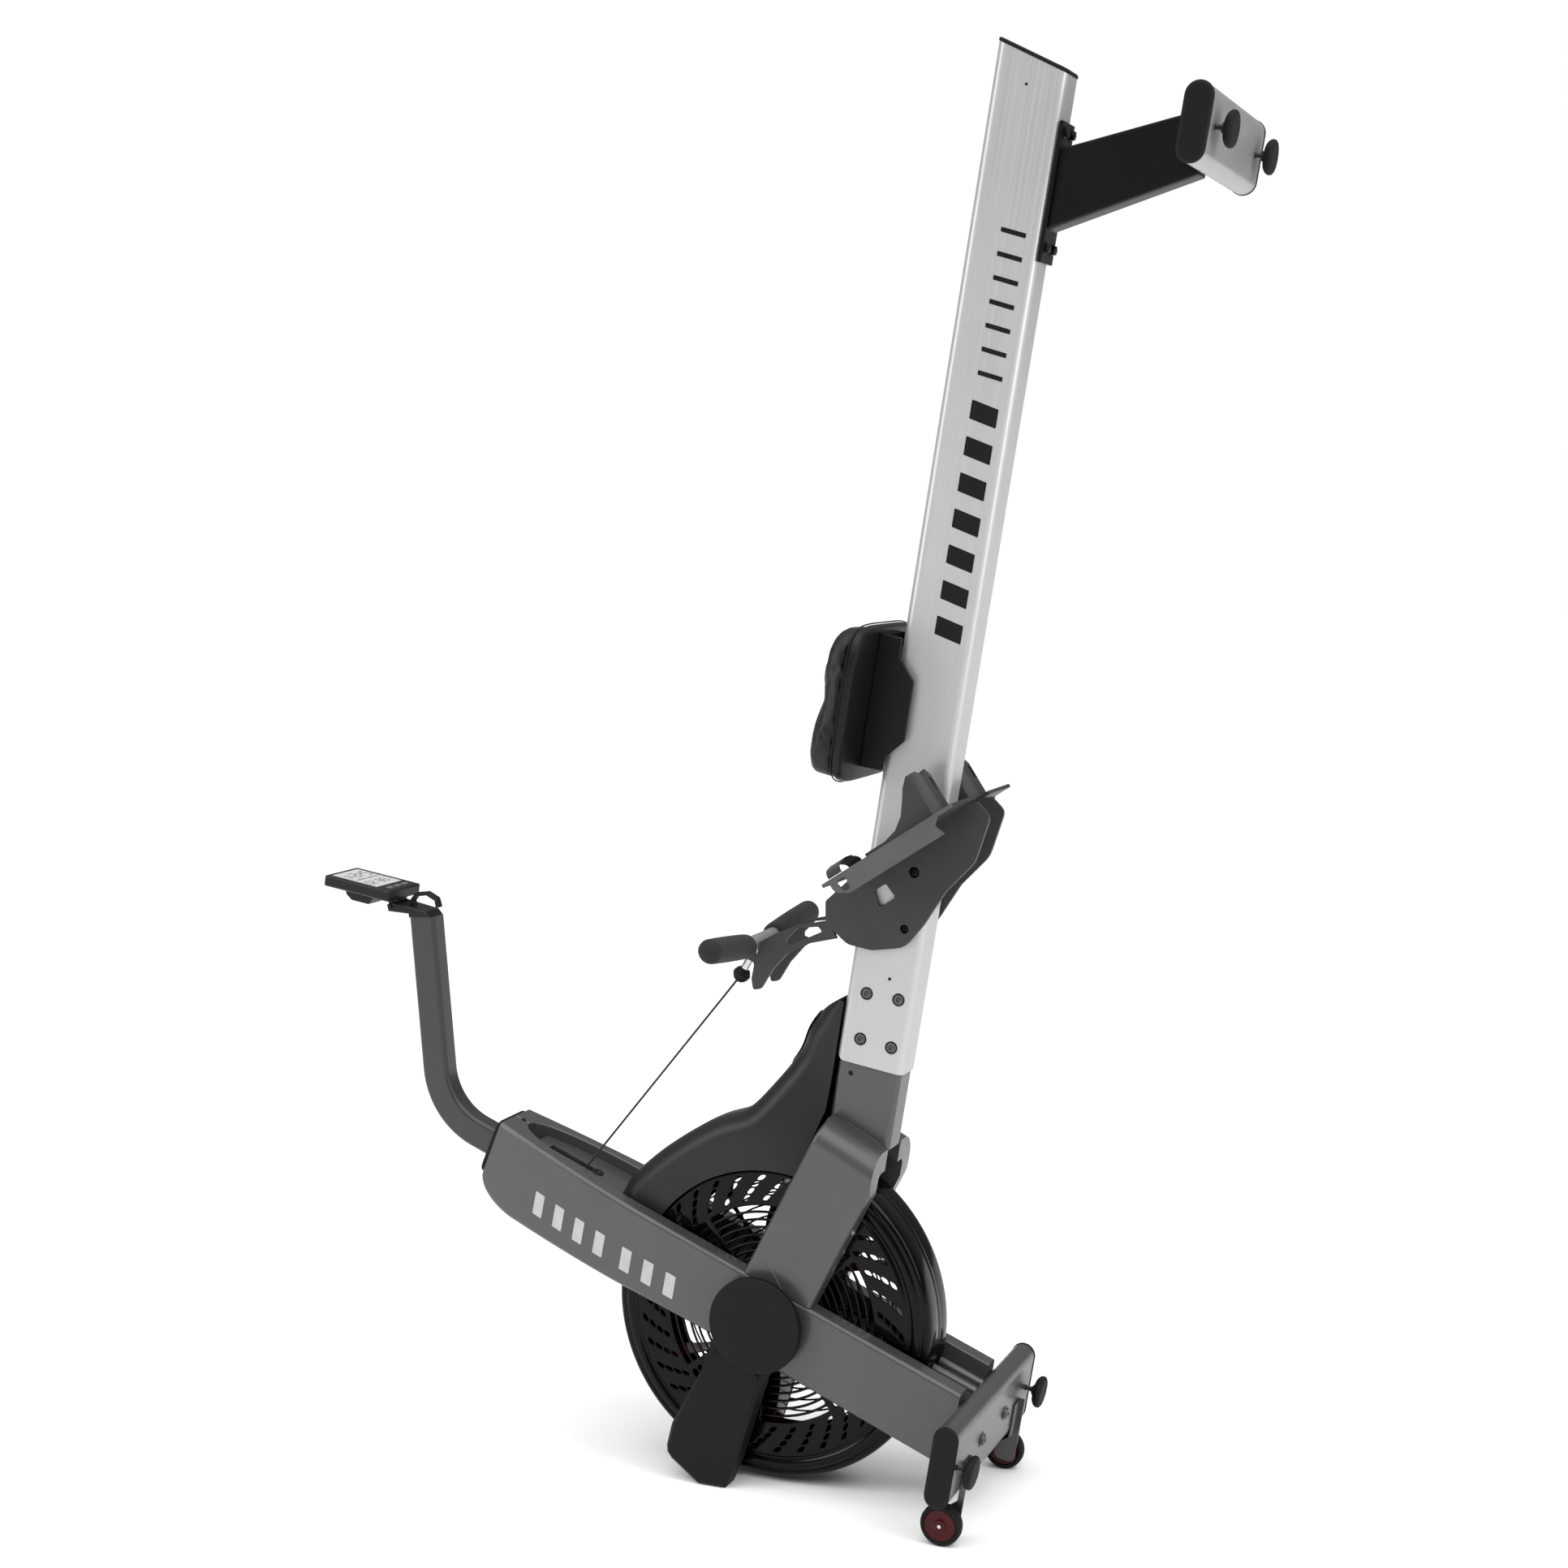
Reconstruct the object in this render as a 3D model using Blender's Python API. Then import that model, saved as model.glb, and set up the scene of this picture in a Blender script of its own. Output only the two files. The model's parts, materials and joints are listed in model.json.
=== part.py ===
"""Rowing machine with an air fan, stored upright on its front end.

Everything is drawn in the machine's own working frame: +X runs back along the rail, +Z is up when
somebody rows, +Y is the rower's right.  The origin is the middle of the fan axle.  One empty,
storage_lean, then tips the whole machine up onto its storage feet and transport wheels.
"""
import math

import bmesh
import bpy
from mathutils import Matrix, Vector

# ---------------------------------------------------------------- driving dimensions (metres)
GAP = 0.0003                                  # between pieces that touch
STORAGE_LEAN = math.radians(9.25)             # rail off the vertical when stored
HUB_HEIGHT = 0.2975                           # fan axle above the floor when stored
ORIGIN_SHIFT = 0.0499                         # axle behind the middle of the outline

RAIL_WIDTH = 0.068
RAIL_HEIGHT = 0.120
RAIL_TOP = -0.038
RAIL_FRONT = 0.461
RAIL_BACK = 2.112
RAIL_SLANT = 0.040                            # the back end is cut at a slant
RAIL_CORNER = 0.014
RAIL_WALL = 0.003
CAP_THICKNESS = 0.007
CAP_PLUG = 0.030

NECK_BOTTOM = 0.330
NECK_INSERT = 0.140                           # how far the neck goes into the rail
NECK_CLEAR = 0.0008

FRAME_OUTER = 0.093                           # outer faces of the side frames
FRAME_INNER = 0.058
FRAME_ROUND = 0.008
BEAM_LEAN = math.radians(13.0)                # side beams off the working vertical
BEAM_TOP_T = 0.065                            # beam's rear edge from the axle line
BEAM_LOW_T = -0.066                           # beam's front edge at the axle
HEAD_LOW_T = -0.083                           # and at the head
HEAD_END = 0.585                              # nose, measured along the beam
ARM_LEAN = math.radians(18.0)                 # fork arms off the rail line
ARM_HALF = 0.0655
ARM_SHOULDER = 0.364
ARM_WALL = 0.036
AXLE_R = 0.010

GUARD_R = 0.288
GUARD_HALF = 0.052
GUARD_SHEET = 0.003
GUARD_SECTORS = 8                             # arc slots round the guard
GUARD_ARC_START = GUARD_R - 0.183
GUARD_ARC_WIDTH = 0.013
GUARD_ARC_PITCH = 0.023
GUARD_ARCS = 3
GUARD_ARC_HALF = 0.32                         # radians
GUARD_ROWS = 16                               # short slots outside them
GUARD_ROW_SPAN = (GUARD_R - 0.108, GUARD_R - 0.060)
GUARD_ROW_HALF = 0.030                        # radians
SHROUD_HALF = 0.0565
SHROUD_EDGE_R = GUARD_R - 0.0375              # the shroud's lower edge over the guard
SHROUD_WALL = 0.0028
TAPER_FROM = 0.330
TAPER_TO = 0.470

FAN_HUB_R = 0.050
FAN_BLADE_R = GUARD_R - 0.042                 # the blades clear the guard's rim
FAN_LEFT = -0.042
FAN_RIGHT = 0.014
FAN_BLADES = 6
BEARING_R = 0.022
DRUM_R = 0.045
DRUM_MID = 0.031
DRUM_WIDTH = 0.020
CORD_R = 0.0014
PULLEY_R = 0.018

HUB_CAP_R = 0.0825
HUB_CAP_THICK = 0.013
FOOT_OUTER = FRAME_OUTER + 0.015              # storage foot's outer face
FOOT_INNER = FRAME_INNER + 0.0025             # and its inner face beside the guard

FRONT_BAR_MID = (-0.093, -0.383)
FRONT_BAR_HALF = 0.0685
FRONT_BAR_THICK = 0.040
FRONT_BAR_REACH = 0.205
REAR_BAR_MID = (2.001, -0.4064)
REAR_BAR_HALF = 0.058
REAR_BAR_THICK = 0.042
REAR_BAR_REACH = 0.180
BAR_WALL = 0.003
BAR_CAP = 0.0075

PUCK_R = 0.0276
PUCK_THICK = 0.017
PUCK_DROP = 0.0142                            # air between a bar and its levelling foot
STEM_R = 0.005
FRONT_FEET_Y = 0.188
REAR_FEET_Y = 0.143

WHEEL_R = 0.0345
WHEEL_WIDTH = 0.022
WHEEL_MID = (-0.2032, -0.3885)
WHEEL_Y = 0.168
WHEEL_PIN_R = 0.004

TRAY_ANGLE = math.radians(-47.7)              # foot trays off the rail
TRAY_TOE = (0.795, -0.035)
TRAY_LENGTH = 0.225
TRAY_FRONT = 0.035                            # tray in front of the toe mark
TRAY_THICK = 0.006
TRAY_OUTER = 0.150
FLANGE_DEEP = 0.029
PLATE_THICK = 0.0075

HEEL_LENGTH = 0.150
HEEL_BACK = 0.200
HEEL_HALF = 0.037
HEEL_HIGH = 0.076
HEEL_WALL = 0.004
STRAP_WIDTH = 0.026
STRAP_THICK = 0.003
STRAP_RISE = 0.018
STRAP_START = -0.020
STRAP_MID = -0.0965
STRAP_REACH = 0.049

BAR_AT = (0.6175, 0.1405)                     # handle bar's axis at the middle
BAR_R = 0.0135
GRIP_R = 0.0205
GRIP_START = 0.056
GRIP_END = 0.222
GRIP_SWEEP = math.radians(6.5)
BALL_AT = (0.5531, 0.1641)
BALL_R = 0.0145
CORD_AT = (0.5353, 0.1782)
OUTLET_T = 0.046                              # cord leaves the head this far from the axle line
PULLEY_LINE_T = 0.020                         # and meets the pulley's groove here

SEAT_FRONT = 0.9290
SEAT_BACK = 1.1897
SEAT_HALF = 0.150
SEAT_UNDER = -0.005
SEAT_THICK = 0.054
CARRIAGE_HALF = 0.050
CARRIAGE_WALL = 0.005
ROLLER_R = 0.0125

SCREEN_FACE = 0.553
MONITOR_BASE = 0.838
MONITOR_HIGH = 0.139
MONITOR_HALF = 0.0525
MONITOR_THICK = 0.020
TILT_AT = (0.5185, 0.8500)
MAST_WIDE = 0.052
MAST_DEEP = 0.040

# ---------------------------------------------------------------- helpers


def material(name, colour, roughness, metallic=0.0):
    mat = bpy.data.materials.new(name)
    mat.use_nodes = True
    shader = mat.node_tree.nodes["Principled BSDF"]
    shader.inputs["Base Color"].default_value = (*colour, 1.0)
    shader.inputs["Roughness"].default_value = roughness
    shader.inputs["Metallic"].default_value = metallic
    mat.diffuse_color = (*colour, 1.0)
    return mat


def along_beam(s, t):
    """Point s along the side beams from the axle and t towards the rower."""
    return (s * math.sin(BEAM_LEAN) + t * math.cos(BEAM_LEAN),
            s * math.cos(BEAM_LEAN) - t * math.sin(BEAM_LEAN))


def on_tray(s, h):
    """Point s from the toe mark down the foot tray and h above its top."""
    return (TRAY_TOE[0] + s * math.cos(TRAY_ANGLE) - h * math.sin(TRAY_ANGLE),
            TRAY_TOE[1] + s * math.sin(TRAY_ANGLE) + h * math.cos(TRAY_ANGLE))


def rounded(points, radii, steps=3):
    """Closed outline with each corner turned into an arc of its own radius."""
    if not isinstance(radii, (list, tuple)):
        radii = [radii] * len(points)
    outline = []
    for index, corner in enumerate(points):
        here = Vector(corner)
        radius = radii[index]
        if radius <= 0.0:
            outline.append(here)
            continue
        back = (Vector(points[index - 1]) - here).normalized()
        ahead = (Vector(points[(index + 1) % len(points)]) - here).normalized()
        half = back.angle(ahead) / 2
        centre = here + (back + ahead).normalized() * radius / math.sin(half)
        start = here + back * radius / math.tan(half) - centre
        end = here + ahead * radius / math.tan(half) - centre
        sweep = start.angle_signed(end)
        for step in range(steps + 1):
            turned = start.copy()
            turned.rotate(Matrix.Rotation(-sweep * step / steps, 2))
            outline.append(centre + turned)
    return outline


def loft(rings):
    """Closed body through rings that all have the same number of points."""
    bm = bmesh.new()
    tip = bm.faces.new([bm.verts.new(point) for point in rings[0]])
    for index, ring in enumerate(rings[1:]):
        made = bmesh.ops.extrude_face_region(bm, geom=[tip])["geom"]
        if index:
            bm.faces.remove(tip)
        tip = next(item for item in made if isinstance(item, bmesh.types.BMFace))
        for vert, point in zip(tip.verts, ring):
            vert.co = point
    bmesh.ops.recalc_face_normals(bm, faces=bm.faces)
    return bm


def prism(outline, y0, y1, soft=0.0, segments=1):
    """Outline in the X, Z plane, extruded from y0 to y1, its end rims rounded by soft."""
    bm = bmesh.new()
    face = bm.faces.new([bm.verts.new((x, y0, z)) for x, z in outline])
    made = bmesh.ops.extrude_face_region(bm, geom=[face])["geom"]
    moved = [item for item in made if isinstance(item, bmesh.types.BMVert)]
    bmesh.ops.translate(bm, vec=(0, y1 - y0, 0), verts=moved)
    bmesh.ops.recalc_face_normals(bm, faces=bm.faces)
    if soft:
        rims = [edge for edge in bm.edges if abs(edge.verts[0].co.y - edge.verts[1].co.y) < 1e-6]
        bmesh.ops.bevel(bm, geom=rims, offset=soft, segments=segments, profile=0.5,
                        affect="EDGES", clamp_overlap=True, material=-1)
    return bm


def turned(profile, centre, segments=24):
    """Closed body of revolution about the Y line through centre; profile is (radius, y)."""
    bm = bmesh.new()
    verts = [bm.verts.new((centre[0] + radius, y, centre[1])) for radius, y in profile]
    edges = [bm.edges.new((verts[i], verts[(i + 1) % len(verts)])) for i in range(len(verts))]
    bmesh.ops.spin(bm, geom=verts + edges, cent=(centre[0], 0, centre[1]), axis=(0, 1, 0),
                   angle=2 * math.pi, steps=segments, use_merge=True)
    bmesh.ops.recalc_face_normals(bm, faces=bm.faces)
    return bm


def rod(radius, start, end, segments=12):
    """Straight round bar between two points."""
    start = Vector(start)
    end = Vector(end)
    bm = bmesh.new()
    turn = (end - start).to_track_quat("Z", "Y").to_matrix().to_4x4()
    place = Matrix.Translation((start + end) / 2) @ turn
    bmesh.ops.create_cone(bm, cap_ends=True, segments=segments, radius1=radius, radius2=radius,
                          depth=(end - start).length, matrix=place)
    return bm


def block(low, high, soft=0.0):
    """Box between two corners."""
    size = Vector(high) - Vector(low)
    middle = (Vector(high) + Vector(low)) / 2
    bm = bmesh.new()
    bmesh.ops.create_cube(bm, size=1.0, matrix=Matrix.Translation(middle) @ Matrix.Diagonal((*size, 1.0)))
    if soft:
        bmesh.ops.bevel(bm, geom=bm.edges[:], offset=soft, segments=1, profile=0.5,
                        affect="EDGES", clamp_overlap=True, material=-1)
    return bm


def oval(half, thick, steps=6):
    """Flat-oval outline, long way along the first axis."""
    radius = thick / 2
    outline = []
    for centre, begin in ((half - radius, -math.pi / 2), (radius - half, math.pi / 2)):
        for step in range(steps + 1):
            angle = begin + math.pi * step / steps
            outline.append((centre + radius * math.cos(angle), radius * math.sin(angle)))
    return outline


def mirrored(bm):
    """The same body on the machine's right side."""
    for vert in bm.verts:
        vert.co.y = -vert.co.y
    bmesh.ops.reverse_faces(bm, faces=bm.faces[:])
    return bm


def piece(name, bm, mat, origin=(0.0, 0.0, 0.0), smooth=30.0):
    """Object under the lean empty, its own origin at the given point."""
    bmesh.ops.translate(bm, vec=-Vector(origin), verts=bm.verts[:])
    mesh = bpy.data.meshes.new(name)
    bm.to_mesh(mesh)
    bm.free()
    mesh.materials.append(mat)
    if smooth:
        mesh.shade_smooth()
        mesh.set_sharp_from_angle(angle=math.radians(smooth))
    obj = bpy.data.objects.new(name, mesh)
    bpy.context.collection.objects.link(obj)
    obj.parent = LEAN
    obj.location = origin
    return obj


def tool(target, operation, bm, label):
    """Cutter or filler for a Boolean on the target; it is never part of the machine."""
    helper = piece(f"{target.name}.{label}", bm, target.data.materials[0], smooth=0.0)
    helper.hide_render = True
    helper.display_type = "WIRE"
    step = target.modifiers.new(label, "BOOLEAN")
    step.operation = operation
    step.solver = "EXACT"
    step.object = helper
    return helper


def cut(target, bm, label):
    return tool(target, "DIFFERENCE", bm, label)


def weld(target, bm, label):
    return tool(target, "UNION", bm, label)


def both_sides(build):
    """Run a builder for the left piece and again, mirrored, for the right one."""
    build("left", lambda bm: bm, -1)
    build("right", mirrored, 1)


# ---------------------------------------------------------------- scene and materials
for leftover in list(bpy.data.objects):
    bpy.data.objects.remove(leftover, do_unlink=True)

LEAN = bpy.data.objects.new("storage_lean", None)
bpy.context.collection.objects.link(LEAN)
LEAN.location = (ORIGIN_SHIFT, 0.0, HUB_HEIGHT)
LEAN.rotation_euler = (0.0, STORAGE_LEAN - math.pi / 2, 0.0)

FRAME_PAINT = material("frame_paint", (0.135, 0.135, 0.135), 0.42, 0.25)
MAST_PAINT = material("mast_paint", (0.095, 0.095, 0.095), 0.42, 0.25)
ALUMINIUM = material("aluminium", (0.60, 0.60, 0.59), 0.34, 0.85)
SILVER_PAINT = material("silver_paint", (0.50, 0.50, 0.49), 0.38, 0.45)
BLACK_STEEL = material("black_steel", (0.018, 0.018, 0.018), 0.38, 0.3)
BLACK_PLASTIC = material("black_plastic", (0.020, 0.020, 0.021), 0.55)
GLOSS_BLACK = material("gloss_black", (0.008, 0.008, 0.009), 0.16)
SHROUD_PLASTIC = material("shroud_plastic", (0.048, 0.048, 0.047), 0.40)
FOOT_PLASTIC = material("foot_plastic", (0.075, 0.075, 0.074), 0.50)
DARK_RED = material("dark_red", (0.120, 0.006, 0.010), 0.30)
RUBBER = material("rubber", (0.022, 0.022, 0.022), 0.80)
CHROME = material("chrome", (0.70, 0.70, 0.70), 0.14, 1.0)
STEEL = material("steel", (0.45, 0.45, 0.45), 0.30, 1.0)
SEAT_FOAM = material("seat_foam", (0.022, 0.022, 0.023), 0.60)
CORD_NYLON = material("cord_nylon", (0.015, 0.015, 0.015), 0.75)
WEBBING = material("webbing", (0.020, 0.020, 0.020), 0.85)
BUTTON_GREY = material("button_grey", (0.30, 0.30, 0.31), 0.50)

# ---------------------------------------------------------------- rail, its cap and the neck
RAIL_MID = RAIL_TOP - RAIL_HEIGHT / 2


def rail_ring(x, inset, slanted=0.0):
    """Rounded ring across the rail, leaned over by the back end's slant."""
    half_y = RAIL_WIDTH / 2 - inset
    half_z = RAIL_HEIGHT / 2 - inset
    corners = [(-half_y, -half_z), (half_y, -half_z), (half_y, half_z), (-half_y, half_z)]
    ring = []
    for y, z in rounded(corners, max(RAIL_CORNER - inset, 0.004), 4):
        lean = slanted * (RAIL_HEIGHT / 2 - z) / RAIL_HEIGHT
        ring.append((x - lean, y, RAIL_MID + z))
    return ring


def build_rail():
    rings = [rail_ring(RAIL_FRONT, 0.0), rail_ring(RAIL_BACK, 0.0, RAIL_SLANT)]
    rail = piece("rail", loft(rings), ALUMINIUM)
    cut(rail, loft([rail_ring(RAIL_FRONT - 0.01, RAIL_WALL), rail_ring(RAIL_BACK + 0.06, RAIL_WALL)]), "bore")
    plug = RAIL_WALL + 0.0006
    rings = [rail_ring(RAIL_BACK - CAP_PLUG, plug, RAIL_SLANT),
             rail_ring(RAIL_BACK + GAP, plug, RAIL_SLANT),
             rail_ring(RAIL_BACK + GAP, -0.0012, RAIL_SLANT),
             rail_ring(RAIL_BACK + CAP_THICKNESS * 0.6, -0.0012, RAIL_SLANT),
             rail_ring(RAIL_BACK + CAP_THICKNESS, 0.003, RAIL_SLANT)]
    piece("rail_end_cap", loft(rings), BLACK_PLASTIC)


def build_neck():
    inset = RAIL_WALL + NECK_CLEAR
    top = RAIL_FRONT + NECK_INSERT
    neck = piece("neck", loft([rail_ring(NECK_BOTTOM, inset), rail_ring(top, inset)]), FRAME_PAINT)
    cut(neck, loft([rail_ring(NECK_BOTTOM + 0.012, inset + 0.004), rail_ring(top + 0.01, inset + 0.004)]), "bore")


build_rail()
build_neck()

# ---------------------------------------------------------------- side frames: beams and fork arms


BEAM_STATIONS = (-0.10, 0.10, 0.26, 0.32, 0.38, 0.43, 0.47, 0.50, 0.525, 0.545, 0.56, 0.574, HEAD_END)


def beam_low(s):
    """Front edge of a beam: it drops slowly towards the head, then curls up to the nose."""
    edge = BEAM_LOW_T + (HEAD_LOW_T - BEAM_LOW_T) * max(0.0, min(1.0, s / 0.50))
    curl = max(0.0, (s - 0.50) / (HEAD_END - 0.50))
    return edge + 0.042 * (1 - math.sqrt(max(0.0, 1 - curl * curl)))


def beam_outer(s):
    """Outer face of a beam: straight past the fan, drawn in towards the nose."""
    pinch = max(0.0, (s - 0.26) / (HEAD_END - 0.26))
    return FRAME_OUTER - 0.039 * pinch ** 1.6


def beam_inner(s):
    """Inner face of a beam: it closes like a pointed arch in front of the cord outlet."""
    arch = max(0.0, min(1.0, (s - 0.30) / 0.255))
    return max(GAP, FRAME_INNER * math.sqrt(max(0.0, 1 - arch ** 2.4)))


def beam_ring(s, square_low=False):
    """Section of the left beam at s, corners softened."""
    low = beam_low(s)
    corners = [(-beam_outer(s), low), (-beam_inner(s), low),
               (-beam_inner(s), BEAM_TOP_T), (-beam_outer(s), BEAM_TOP_T)]
    soft = [FRAME_ROUND * 1.4, 0.003, 0.003, FRAME_ROUND]
    ring = []
    for y, t in rounded(corners, soft, 2):
        x, z = along_beam(s, t)
        if square_low:
            z = FRONT_BAR_MID[1] + FRONT_BAR_THICK / 2 + GAP
            foot = (z + t * math.sin(BEAM_LEAN)) / math.cos(BEAM_LEAN)
            x = foot * math.sin(BEAM_LEAN) + t * math.cos(BEAM_LEAN)
        ring.append((x, y, z))
    return ring


def build_beam(side, turn, sign):
    rings = [beam_ring(-0.36, True)] + [beam_ring(s) for s in BEAM_STATIONS]
    beam = piece(f"side_beam_{side}", turn(loft(rings)), FRAME_PAINT)
    cut(beam, rod(AXLE_R + 0.0006, (0, sign * 0.04, 0), (0, sign * 0.12, 0), 16), "axle_hole")


def build_arm(side, turn, sign):
    """Fork arm: out from the neck over the guard, round the shoulder and down to the beam."""
    low = 0.02
    neck_side = RAIL_WIDTH / 2 - RAIL_WALL - NECK_CLEAR + GAP
    corners = [(low, FRAME_INNER), (low, FRAME_OUTER), (ARM_SHOULDER, FRAME_OUTER),
               (ARM_SHOULDER, neck_side), (ARM_SHOULDER - ARM_WALL, neck_side), (ARM_SHOULDER - ARM_WALL, FRAME_INNER)]
    outline = rounded(corners, [0, 0, 0.040, 0, 0, 0.012], 5)
    bm = bmesh.new()
    face = bm.faces.new([bm.verts.new((s, -y, -ARM_HALF)) for s, y in outline])
    made = bmesh.ops.extrude_face_region(bm, geom=[face])["geom"]
    moved = [item for item in made if isinstance(item, bmesh.types.BMVert)]
    bmesh.ops.translate(bm, vec=(0, 0, 2 * ARM_HALF), verts=moved)
    rims = [edge for edge in bm.edges
            if abs(edge.verts[0].co.z - edge.verts[1].co.z) < 1e-6
            and max(vert.co.y for vert in edge.verts) < -FRAME_INNER - 0.002]
    bmesh.ops.bevel(bm, geom=rims, offset=FRAME_ROUND, segments=2, profile=0.5,
                    affect="EDGES", clamp_overlap=True, material=-1)
    bmesh.ops.rotate(bm, cent=(0, 0, 0), matrix=Matrix.Rotation(ARM_LEAN, 3, "Y"), verts=bm.verts[:])
    bmesh.ops.recalc_face_normals(bm, faces=bm.faces)
    arm = piece(f"fork_arm_{side}", turn(bm), FRAME_PAINT)
    edge = BEAM_TOP_T + GAP
    corners = [along_beam(s, t) for s, t in ((-0.2, -0.2), (0.3, -0.2), (0.3, edge), (-0.2, edge))]
    cut(arm, prism(corners, sign * 0.04, sign * 0.12), "beam_edge")
    under = RAIL_TOP - RAIL_HEIGHT + RAIL_WALL + NECK_CLEAR
    cut(arm, block((0.0, -0.12, under - 0.1), (0.5, 0.12, under)), "flush_under_neck")


both_sides(build_beam)
both_sides(build_arm)

# ---------------------------------------------------------------- head: cord outlet, pulley, end plate


def cord_line_at(t):
    """Point where the cord's straight run from the handle crosses the plane t."""
    s, c = math.sin(BEAM_LEAN), math.cos(BEAM_LEAN)
    start = CORD_AT[0] * c - CORD_AT[1] * s
    rate = OUTLET_DIR[0] * c - OUTLET_DIR[1] * s
    step = (t - start) / rate
    return Vector((CORD_AT[0] + OUTLET_DIR[0] * step, CORD_AT[1] + OUTLET_DIR[1] * step))


OUTLET_DIR = (Vector((0.1585, 0.3917)) - Vector(CORD_AT)).normalized()
OUTLET = cord_line_at(OUTLET_T)
PULLEY_TOUCH = cord_line_at(PULLEY_LINE_T)
PULLEY_AT = PULLEY_TOUCH + Vector((-OUTLET_DIR.y, OUTLET_DIR.x)) * PULLEY_R


def build_head():
    stations = [GUARD_R + 0.003] + [s for s in BEAM_STATIONS if 0.30 < s < 0.53]
    half = [beam_inner(s if s < 0.30 else max(s, 0.32)) - 2 * GAP for s in stations]
    bm = bmesh.new()
    outline = [(s, -y) for s, y in zip(stations, half)] + [(s, y) for s, y in zip(reversed(stations), reversed(half))]
    under = [(*along_beam(s, OUTLET_T - 0.004), y) for s, y in outline]
    face = bm.faces.new([bm.verts.new((x, y, z)) for x, z, y in under])
    made = bmesh.ops.extrude_face_region(bm, geom=[face])["geom"]
    moved = [item for item in made if isinstance(item, bmesh.types.BMVert)]
    rise = Vector((math.cos(BEAM_LEAN), 0, -math.sin(BEAM_LEAN))) * 0.005
    bmesh.ops.translate(bm, vec=rise, verts=moved)
    bmesh.ops.recalc_face_normals(bm, faces=bm.faces)
    bridge = piece("cord_bridge", bm, FRAME_PAINT)
    for sign in (-1, 1):
        cheek = [along_beam(s, t) for s, t in ((0.385, -0.012), (0.445, -0.012), (0.445, 0.0435), (0.385, 0.0435))]
        weld(bridge, prism(cheek, sign * 0.012, sign * 0.016), f"cheek_{sign}")
    weld(bridge, rod(0.0030, (PULLEY_AT.x, -0.018, PULLEY_AT.y), (PULLEY_AT.x, 0.018, PULLEY_AT.y), 10), "pulley_pin")
    slot = [along_beam(s, t) for s, t in ((0.407, 0.036), (0.500, 0.036), (0.500, 0.06), (0.407, 0.06))]
    cut(bridge, prism(slot, -0.0085, 0.0085), "slot")
    groove = PULLEY_R - CORD_R
    profile = [(0.0034, -0.0075), (PULLEY_R + 0.004, -0.0075), (groove, -CORD_R), (groove, CORD_R),
               (PULLEY_R + 0.004, 0.0075), (0.0034, 0.0075)]
    piece("guide_pulley", turned(profile, PULLEY_AT, 20), STEEL, (PULLEY_AT.x, 0, PULLEY_AT.y))
    corners = [(-0.053, -0.040), (0.053, -0.040), (0.049, 0.062), (-0.049, 0.062)]
    rings = []
    for s, inset in ((HEAD_END + GAP, 0.0), (HEAD_END + 0.006, 0.0), (HEAD_END + 0.0085, 0.003)):
        shrunk = [(y - math.copysign(inset, y), t - math.copysign(inset, t)) for y, t in corners]
        rings.append([(along_beam(s, t)[0], y, along_beam(s, t)[1]) for y, t in rounded(shrunk, 0.014, 3)])
    piece("head_end_plate", loft(rings), BLACK_PLASTIC)


build_head()

# ---------------------------------------------------------------- monitor mast, bracket, monitor
MAST_TOP = (0.512, 0.787)
MAST_DIR = math.atan2(0.065, 0.2625)


def mast_route():
    """Centre line: out of the head, a bend of 0.13 radius, then straight along the rail's way."""
    start = Vector(along_beam(HEAD_END + 0.009, 0.003))
    first = Vector((math.sin(BEAM_LEAN), math.cos(BEAM_LEAN)))
    last = Vector((math.cos(MAST_DIR), math.sin(MAST_DIR)))
    top = Vector(MAST_TOP)
    matrix = Matrix(((first.x, -last.x), (first.y, -last.y)))
    reach = matrix.inverted() @ (top - start)
    corner = start + first * reach[0]
    bend = 0.13
    half = (-first).angle(last) / 2
    trim = min(bend / math.tan(half), reach[0] * 0.85)
    bend = trim * math.tan(half)
    centre = corner + (last - first).normalized() * bend / math.sin(half)
    route = [(start, first)]
    spread = first.angle(last)
    turn = math.copysign(1.0, first.cross(last))
    entry = corner - first * trim - centre
    for step in range(8):
        arm = entry.copy()
        arm.rotate(Matrix.Rotation(turn * spread * step / 7, 2))
        way = first.copy()
        way.rotate(Matrix.Rotation(turn * spread * step / 7, 2))
        route.append((centre + arm, way))
    route.append((top, last))
    return route


def build_mast():
    rings = []
    for point, way in mast_route():
        across = Vector((-way.y, way.x))
        ring = []
        corners = [(-MAST_WIDE / 2, -MAST_DEEP / 2), (MAST_WIDE / 2, -MAST_DEEP / 2),
                   (MAST_WIDE / 2, MAST_DEEP / 2), (-MAST_WIDE / 2, MAST_DEEP / 2)]
        for a, y in rounded(corners, 0.007, 2):
            spot = point + across * a
            ring.append((spot.x, y, spot.y))
        rings.append(ring)
    piece("monitor_mast", loft(rings), MAST_PAINT)


def hook_outline():
    """Curved hook behind the mast's top, where the handle cord or a cable can hang."""
    middle = [(0.519, 0.812), (0.5340, 0.8190), (0.5470, 0.8110), (0.5534, 0.7900), (0.5470, 0.7700), (0.5330, 0.7640)]
    outer = []
    inner = []
    for index, point in enumerate(middle):
        before = Vector(middle[max(index - 1, 0)])
        after = Vector(middle[min(index + 1, len(middle) - 1)])
        way = (after - before).normalized()
        side = Vector((-way.y, way.x)) * 0.0035
        outer.append(Vector(point) + side)
        inner.append(Vector(point) - side)
    return outer + inner[::-1]


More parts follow.
